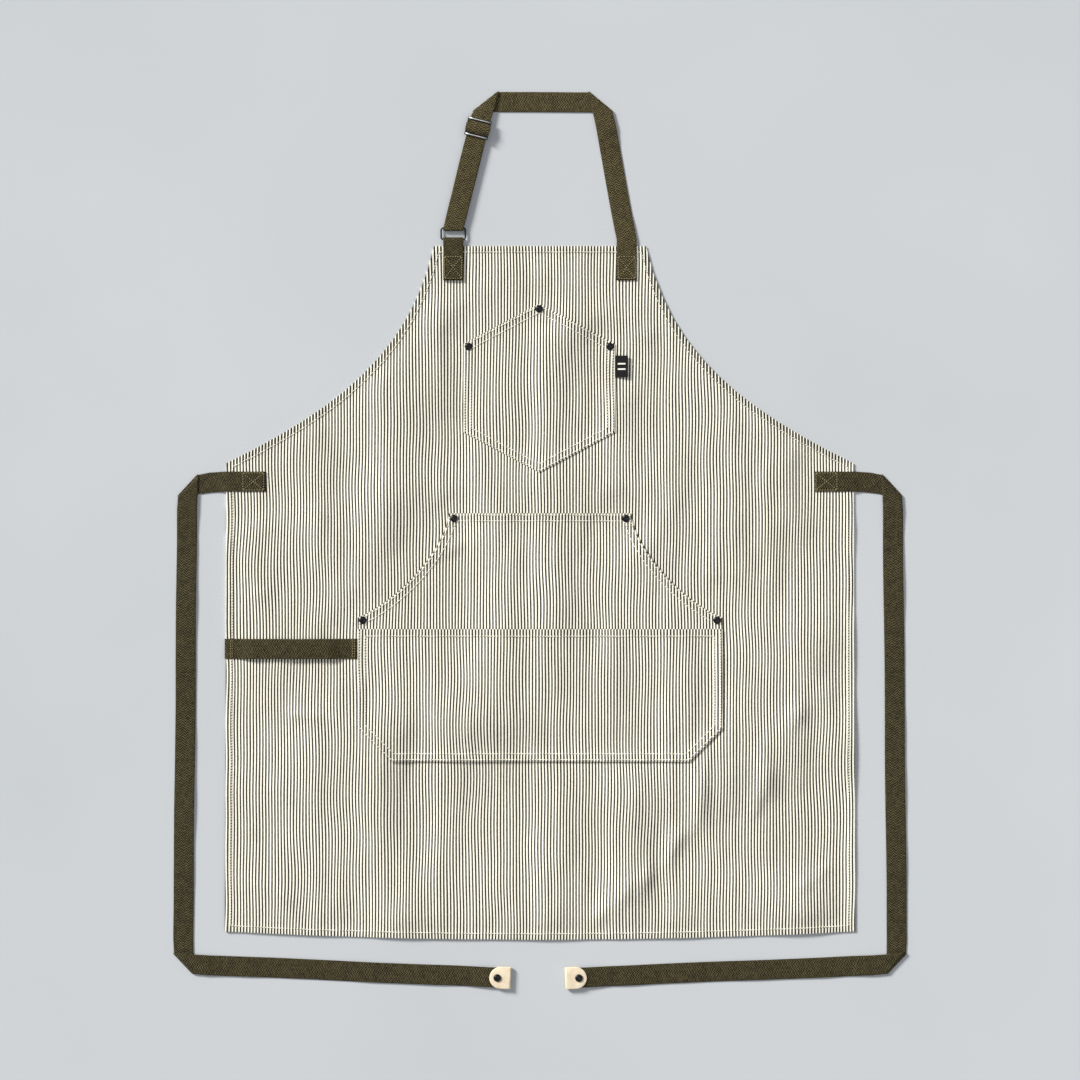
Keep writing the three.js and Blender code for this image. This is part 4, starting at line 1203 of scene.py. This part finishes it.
def neck_tab(layout):
    """The short end that holds the ring: a folded, doubled strap sewn to the bib."""
    up = math.pi / 2
    x, top, bottom = layout["ring_x"], layout["patch_top"], layout["patch_bottom"]
    low = layout["patch_z"]
    upper = low + WEBBING + LAY_GAP
    sections = [
        section((x, bottom, low), up, DOWN),
        section((x, top + 0.3 * MM, low), up, DOWN),
        *bar_turn((x, layout["fold_y"], layout["bar_z"]), WRAP_RADIUS, -90, 90),
        section((x, top - 2 * MM, upper + 0.1 * MM), -up),
        section((x, top - 8 * MM, upper), -up),
        section((x, bottom, upper), -up),
    ]
    tab = strap("neck_ring_tab_webbing", sections, "apron")
    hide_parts("neck_ring_tab")
    rows = patch_stitches((x, bottom), upper + WEBBING / 2)
    sewn = ride_stitches("neck_ring_tab_stitches", rows, OLIVE_THREAD)


def patch_stitches(bottom_middle, top):
    """The sewn box on a neck patch."""
    half = WEBBING_WIDTH / 2 - BOX_MARGIN
    corner = np.array([bottom_middle[0] - half, bottom_middle[1] + 2 * MM, 0.0])
    across = np.array([2 * half, 0.0, 0.0])
    up = np.array([0.0, PATCH_BOX, 0.0])
    return box_stitch(corner, across, up, level(top + STRAP_THREAD_RISE))


def main_strap(layout):
    """One strap from the bib's right side over the neck and down round the ring."""
    up = math.pi / 2
    x, fold_y, top_y = layout["strap_x"], layout["fold_y"], layout["top_y"]
    bottom, edge, patch_z = layout["patch_bottom"], layout["patch_top"], layout["patch_z"]
    ring_x, bar_y, bar_z, front = (layout[name] for name in ("ring_x", "top_bar_y", "bar_z", "front_z"))
    rise = top_y - fold_y
    up_right, down_left = up + LEAN_RIGHT, -up - LEAN_LEFT
    left_fold = strap_line(layout, (top_y - bar_y) / math.cos(LEAN_LEFT))
    right = crease((x - rise * math.tan(LEAN_RIGHT), top_y), up_right, math.pi)
    left = crease((left_fold[0], top_y), math.pi, math.pi + up - LEAN_LEFT, DOWN)
    straight = rise / math.cos(LEAN_RIGHT)
    beyond = bar_z - WEBBING / 2
    slider_at = np.linalg.norm(layout["slider"][:2] - np.array([ring_x, bar_y]))

    def on_right(distance, height):
        place = (x - distance * math.sin(LEAN_RIGHT), fold_y + distance * math.cos(LEAN_RIGHT), height)
        return section(place, up_right)

    def on_left(distance):
        return section((*strap_line(layout, distance), front), down_left)

    sections = [
        section((x, bottom, patch_z), up),
        section((x, edge - 2 * MM, patch_z), up),
        section((x, edge + 3 * MM, patch_z - 0.25 * MM), up),
        section((x, fold_y, beyond), up),
        on_right(14 * MM, 0.8 * beyond),
        on_right(NECK_ON_FLOOR, FLOOR_LAYER),
        on_right(straight - NECK_RISE_START, FLOOR_LAYER),
        on_right(straight - NECK_RISE_END, FLOOR_LAYER + 2 * NECK_FOLD_RADIUS),
        *fold_turn(right, FLOOR_LAYER, NECK_FOLD_RADIUS, 90, -90),
        *fold_turn(left, FLOOR_LAYER, NECK_FOLD_RADIUS, -90, 90),
        on_left(slider_at + SLIDER_STRAIGHT),
        on_left(slider_at),
        on_left(RING_STRAIGHT),
        *bar_turn((ring_x, bar_y, bar_z), WRAP_RADIUS, 90, 270),
    ]
    neck = strap("neck_strap_webbing", sections, material=NECK_OLIVE)
    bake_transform(neck)
    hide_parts("neck_strap", "neck_strap_sewn_end")
    rows = patch_stitches((x, bottom), patch_z + WEBBING / 2)
    sewn = ride_stitches("neck_strap_stitches", rows, OLIVE_THREAD)
    hump = strap_hump(layout)


def strap_hump(layout):
    """Where the strap rises between the slider's outer bars."""
    place, height = layout["slider"], layout["front_z"] + WEBBING / 2
    run = np.array([math.sin(LEAN_LEFT), math.cos(LEAN_LEFT), 0.0])
    reach = (SLIDER_LENGTH / 2 - SLIDER_BAR) - 0.2 * MM
    sections = []
    for share in np.linspace(-1, 1, 17):
        rise = HUMP_RISE * (1 - abs(share) ** 2.6)
        mid = np.array([place[0], place[1], 0.0]) + run * share * reach + UP * (height + rise - 0.25 * MM)
        slope = HUMP_RISE * 2.6 * abs(share) ** 1.6 * np.sign(share) / reach
        up = UP + run * slope
        half_width = WEBBING_WIDTH / 2 + HUMP_SPREAD * (1 - abs(share) ** 4)
        sections.append((mid, np.cross(UP, run) * half_width, up / np.linalg.norm(up)))
    return strap("strap_over_slider_bar", sections, "slider", NECK_OLIVE, thickness=0.9 * MM, start=0.4)


def return_strap(layout):
    """The hidden second layer, which shortens as the slider comes down."""
    height = layout["bar_z"] - WRAP_RADIUS
    top = box["neck_strap_return"][1][1]
    heading = math.pi / 2 - LEAN_LEFT
    end = (top - layout["top_bar_y"]) / math.cos(LEAN_LEFT) - WEBBING_WIDTH / 2 * math.tan(LEAN_LEFT)
    start = (layout["ring_x"], layout["top_bar_y"] + 0.2 * MM, height)
    sections = [
        section(start, math.pi / 2),
        section((*strap_line(layout, RING_STRAIGHT), height), heading),
        section((*strap_line(layout, end), height), heading),
    ]
    back = strap("neck_strap_return_webbing", sections, "neck_loop")
    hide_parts("neck_strap_return")
    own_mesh(back)


def neck_ring():
    """A wire ring with rounded corners."""
    low, high = box["neck_ring"]
    wire = RING_WIRE / 2
    loop = rounded_loop(high[0] - low[0] - 2 * wire, high[1] - low[1] - 2 * wire, RING_CORNER)
    path = [centre("neck_ring") + point for point in loop]
    ring = merged("neck_ring_wire", [round_bar(path, (wire, wire), closed=True)], BLACK_METAL)
    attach(ring, "neck_ring")
    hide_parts("neck_ring")


def build_neck():
    layout = neck_layout()
    neck_ring()
    neck_tab(layout)
    main_strap(layout)
    return_strap(layout)


def slider_end(hub, turn, bar_z):
    """The strap's sewn end, folded round the slider's middle bar."""
    radius = MIDDLE_BAR + 0.2 * MM + END_LOOP / 2
    up = math.pi / 2
    lower = bar_z - radius
    upper = lower + END_LOOP + LAY_GAP
    flat = [
        section((0, -END_LOOP_LEG, lower), up, DOWN),
        *bar_turn((0, 0, bar_z), radius, -90, 90),
        section((0, -END_LOOP_LEG / 3, upper), -up),
        section((0, -END_LOOP_LEG, upper), -up),
    ]
    middle = np.array([hub[0], hub[1], 0.0])
    sections = [(middle + mid @ turn, half @ turn, normal @ turn) for mid, half, normal in flat]
    end = strap("strap_end_webbing", sections, "slider", thickness=END_LOOP)
    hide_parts("strap_end_loop")


def build_slider():
    """Two round outer bars with a painted highlight along each crest, a hidden middle bar between two side
    rails, and the strap's sewn end.
    """
    layout = neck_layout()
    low, high = box["slider_frame"]
    hub = layout["slider"]
    cos, sin = math.cos(LEAN_LEFT), math.sin(LEAN_LEFT)
    turn = np.array([[cos, -sin, 0], [sin, cos, 0], [0, 0, 1]])
    rim_low = layout["front_z"] + WEBBING / 2 + 0.3 * MM
    rim_z = (rim_low + high[2]) / 2
    half_thick = (high[2] - rim_low) / 2
    cheek_x = WEBBING_WIDTH / 2 + CHEEK_GAP
    bar_y = (SLIDER_LENGTH - SLIDER_BAR) / 2
    bar_z = low[2] + MIDDLE_BAR

    def placed(points, height):
        return [np.array([hub[0], hub[1], height]) + np.array([*point, 0.0]) @ turn for point in points]

    def crosswise(y, reach, height):
        return placed([(x, y) for x in np.linspace(-reach, reach, 5)], height)

    parts, painted_highlights = [], []
    for side in (-1, 1):
        outer = crosswise(side * bar_y, cheek_x + RAIL, rim_z)
        parts.append(round_bar(outer, (SLIDER_BAR / 2, half_thick), sides=20))
        # Painted highlight: a thin pale bar along the crest of each outer bar.
        crest = crosswise(side * bar_y, cheek_x, rim_z + half_thick - 0.25 * MM)
        painted_highlights.append(round_bar(crest, (0.5 * MM, 0.35 * MM)))
        rail = placed([(side * cheek_x, y) for y in (-bar_y, bar_y)], rim_z)
        parts.append(round_bar(rail, (RAIL, 0.8 * half_thick)))
        for post in placed([(side * cheek_x, y) for y in np.linspace(-2.2 * MM, 2.2 * MM, 3)], 0):
            parts.append(upright(post, low[2], rim_z, RAIL))
    parts.append(round_bar(crosswise(0.0, cheek_x, bar_z), (MIDDLE_BAR, MIDDLE_BAR)))
    bars = merged("slider_bars", parts, GUNMETAL)
    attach(bars, "slider")
    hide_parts("slider_frame")
    crests = merged("slider_worn_crests", painted_highlights, PAINTED_HIGHLIGHT_METAL)
    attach(crests, "slider")
    slider_end(hub, turn, bar_z)


def upright(place, low, high, radius, sides=14):
    """A short upright post as points and faces."""
    points = circle(place, radius, low, sides) + circle(place, radius, high, sides)
    return points, side_faces(2, sides) + end_faces(2, sides)


# ---------------------------------------------------------------- Waist ties


def tie_layout(side):
    hand = "left" if side < 0 else "right"
    upper = np.array(joints[f"{hand}_tie_upper_fold"]["pos_m"])
    lower = np.array(joints[f"{hand}_tie_lower_fold"]["pos_m"])
    drop = lower - upper

    def on_this_side(heading):
        return heading if side > 0 else math.pi - heading

    outwards = on_this_side(-TIE_SAG)
    downwards = math.atan2(drop[1], drop[0])
    inwards = on_this_side(-math.pi + TAIL_SLOPE)
    low, high = box[f"{hand}_tie_sewn_end"]
    return {
        "side": side,
        "hand": hand,
        "outwards": outwards,
        "downwards": downwards,
        "inwards": inwards,
        "upper": crease(upper, outwards, downwards),
        "lower": crease(lower, downwards, inwards),
        "patch_x": high[0] if side < 0 else low[0],
        "patch_y": high[1] - WEBBING_WIDTH / 2,
        "patch_z": high[2] - WEBBING / 2,
        "drop_length": float(np.linalg.norm(drop[:2])),
    }


def edge_x(y, side):
    """Where the panel's side edge crosses a height."""
    loop = PANEL_OUTLINE[PANEL_OUTLINE[:, 0] * side > 0.3]
    loop = loop[np.argsort(loop[:, 1])]
    return float(np.interp(y, loop[:, 1], loop[:, 0]))


def from_fold(fold, heading, distance, height):
    return section(fold["place"] + heading_vector(heading) * distance + UP * height, heading)


def fold_piece(name, fold):
    """The strap's half turn, which opens as the tie unfolds."""
    turn = fold_turn(fold, FLOOR_LAYER, FOLD_RADIUS, -90, 90, 10)
    piece = strap(name, turn)
    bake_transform(piece)
    return piece


def build_stub(tie):
    """The tie's sewn end and the way from the panel's edge down to the floor and out to the first fold."""
    hand, side, out = tie["hand"], tie["side"], 0.0 if tie["side"] > 0 else math.pi
    y, z = tie["patch_y"], tie["patch_z"]
    edge = edge_x(y, side)
    sections = [
        section((tie["patch_x"], y, z), out),
        section((edge - side * 1.5 * MM, y, z), out),
        section((edge + side * 2 * MM, y, z - 0.5 * MM), out),
        section((edge + side * 10 * MM, y - 0.5 * MM, FLOOR_LAYER + 0.1 * MM), out),
        section((edge + side * 20 * MM, y - 1.2 * MM, FLOOR_LAYER), tie["outwards"]),
        fold_end(tie["upper"], tie["outwards"], FLOOR_LAYER, FOLD_RADIUS),
    ]
    stub = strap(f"{hand}_tie_stub", sections, "apron")
    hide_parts(f"{hand}_tie_sewn_end")
    half = WEBBING_WIDTH / 2 - BOX_MARGIN
    corner = np.array([tie["patch_x"] + side * 2 * MM, y - half, 0.0])
    across, up = np.array([side * TIE_BOX, 0.0, 0.0]), np.array([0.0, 2 * half, 0.0])
    rows = box_stitch(corner, across, up, level(z + WEBBING / 2 + STRAP_THREAD_RISE))
    sewn = ride_stitches(f"{hand}_tie_stitches", rows, OLIVE_THREAD)
    turn = fold_piece(f"{hand}_upper_crease", tie["upper"])


def build_drop(tie):
    """The part that hangs from the first fold to the second."""
    hand, upper, lower, heading = tie["hand"], tie["upper"], tie["lower"], tie["downwards"]
    sections = [
        fold_end(upper, heading, UPPER_LAYER, FOLD_RADIUS),
        from_fold(upper, heading, TIE_STRAIGHT, UPPER_LAYER),
        from_fold(upper, heading, TIE_ON_FLOOR, FLOOR_LAYER),
        from_fold(upper, heading, tie["drop_length"] - TIE_STRAIGHT, FLOOR_LAYER),
        fold_end(lower, heading, FLOOR_LAYER, FOLD_RADIUS),
    ]
    drop = strap(f"{hand}_tie_drop_webbing", sections, f"{hand}_tie_drop", start=0.1, lift=TIE_LIFT,
                 seed=tie["side"] + 10)
    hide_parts(f"{hand}_tie_drop")
    turn = fold_piece(f"{hand}_lower_crease", lower)


def build_tail(tie):
    hand, lower, heading = tie["hand"], tie["lower"], tie["inwards"]
    cap = centre(f"{hand}_tip_rivet_cap")
    length = float(np.linalg.norm(cap[:2] - lower["place"][:2])) + TIP_RIVET_FROM_END
    strap_z = centre(f"{hand}_tie_tip")[2]
    sections = [
        fold_end(lower, heading, UPPER_LAYER, FOLD_RADIUS),
        from_fold(lower, heading, TIE_STRAIGHT, UPPER_LAYER),
        from_fold(lower, heading, TIE_ON_FLOOR, FLOOR_LAYER),
        from_fold(lower, heading, length - TIP_LENGTH - TIE_STRAIGHT, FLOOR_LAYER),
        from_fold(lower, heading, length - TIP_LENGTH - 2 * MM, strap_z),
        from_fold(lower, heading, length - 2 * MM, strap_z),
    ]
    tail = strap(f"{hand}_tie_tail_webbing", sections, f"{hand}_tie_tail", start=0.7, lift=TIE_LIFT,
                 seed=tie["side"] + 20)
    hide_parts(f"{hand}_tie_tail")
    leather_tip(tie, length)


def leather_tip(tie, length):
    """Leather folded over the tie's end: two flaps with half-round ends, joined by a round fold."""
    hand, run = tie["hand"], heading_vector(tie["inwards"])
    left = np.cross(UP, run)
    end = tie["lower"]["place"] + run * length
    half = WEBBING_WIDTH / 2 + MM
    low, high = (float(corner[2]) for corner in box[f"{hand}_tie_tip"])

    def half_width(back):
        """Half the tip's width at a distance back from the fold."""
        past = back - (TIP_LENGTH - half)
        return half if past <= 0 else math.sqrt(max(half * half - past * past, 0.0))

    backs = [0.0, 4 * MM, 9 * MM, TIP_LENGTH - half]
    backs += [TIP_LENGTH - half * (1 - math.sin(math.radians(a))) for a in (15, 30, 45, 58, 70, 80, 87)]
    parts = [leather_layer(end, run, left, backs, half_width, layer) for layer in (low, high - LEATHER_THICK)]
    parts.append(leather_fold(end, run, left, half, low, high))
    tip = merged(f"{hand}_leather_tip", parts, LEATHER)
    sharpen(tip, 60)
    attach(tip, f"{hand}_tie_tail")
    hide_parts(f"{hand}_tie_tip")


def leather_layer(end, run, left, backs, half_width, low):
    """One flap with softened edges, as a closed grid."""
    profile = [(-1.0, 0.25), (-0.985, 0.75), (-0.94, 1.0), (-0.5, 1.0), (0.0, 1.0), (0.5, 1.0), (0.94, 1.0),
               (0.985, 0.75), (1.0, 0.25)]
    top, under = [], []
    for back in backs:
        close = smoothstep(TIP_LENGTH - back, 0, 1.2 * MM)
        for aside, fullness in profile:
            hub = end - run * max(back, FOLD_INSET) + left * half_width(back) * aside
            hub = hub + UP * (low + LEATHER_THICK / 2)
            rise = UP * fullness * lerp(0.4, 1.0, close) * LEATHER_THICK / 2
            top.append(hub + rise)
            under.append(hub - rise)
    return top + under, [face[::-1] for face in ribbon_faces(len(backs), len(profile))]


def leather_fold(end, run, left, half, low, high):
    """The round fold that joins the two flaps past the strap's end."""
    outer = (high - low) / 2
    inner = outer - LEATHER_THICK
    steps, columns = 12, [-1.0, -0.97, 0.0, 0.97, 1.0]
    top, under = [], []
    for angle in np.radians(np.linspace(-90, 90, steps + 1)):
        way = run * math.cos(angle) * FOLD_INSET / outer + UP * math.sin(angle)
        for column in columns:
            hub = end - run * FOLD_INSET + left * half * column + UP * (low + high) / 2
            soft = 0.25 * MM if abs(column) == 1.0 else 0.0
            top.append(hub + way * (outer - soft))
            under.append(hub + way * (inner + soft))
    return top + under, ribbon_faces(steps + 1, len(columns))


# ---------------------------------------------------------------- Floor, light and camera


def build_stage():
    corners = [(-4, -4, 0), (4, -4, 0), (4, 4, 0), (-4, 4, 0)]
    floor = make_object("floor", corners, [(0, 1, 2, 3)], pale_floor())
    floor.location.z = -0.15 * MM


def sun(name, direction, power, softness, colour):
    data = bpy.data.lights.new(name, "SUN")
    data.energy = power
    data.angle = softness
    data.color = colour
    lamp = bpy.data.objects.new(name, data)
    bpy.context.scene.collection.objects.link(lamp)
    lamp.rotation_euler = Vector(direction).to_track_quat("-Z", "Y").to_euler()


def build_lights():
    sun("key", (0.72, -0.58, -0.44), 6.2, math.radians(16), (1.0, 0.985, 0.95))
    sun("fill", (-0.5, 0.2, -1.0), 0.5, math.radians(60), (0.96, 0.98, 1.0))
    world = bpy.data.worlds.new("studio")
    world.use_nodes = True
    background = world.node_tree.nodes["Background"].inputs
    background["Color"].default_value = (0.95, 0.97, 1.0, 1)
    background["Strength"].default_value = 0.42
    bpy.context.scene.world = world
    bpy.context.scene.view_settings.view_transform = "Standard"


def build_camera():
    data = bpy.data.cameras.new("camera")
    data.sensor_width = SENSOR
    data.lens = SENSOR * CAMERA_HEIGHT / VIEW_WIDTH
    camera = bpy.data.objects.new("camera", data)
    bpy.context.scene.collection.objects.link(camera)
    camera.location = (0, 0, CAMERA_HEIGHT)
    bpy.context.scene.camera = camera


build_camera()
build_stage()
build_lights()
build_cloth()
build_rivets()
build_label()
build_towel_loop()
build_neck()
build_slider()
for side in (-1, 1):
    tie = tie_layout(side)
    build_stub(tie)
    build_drop(tie)
    build_tail(tie)
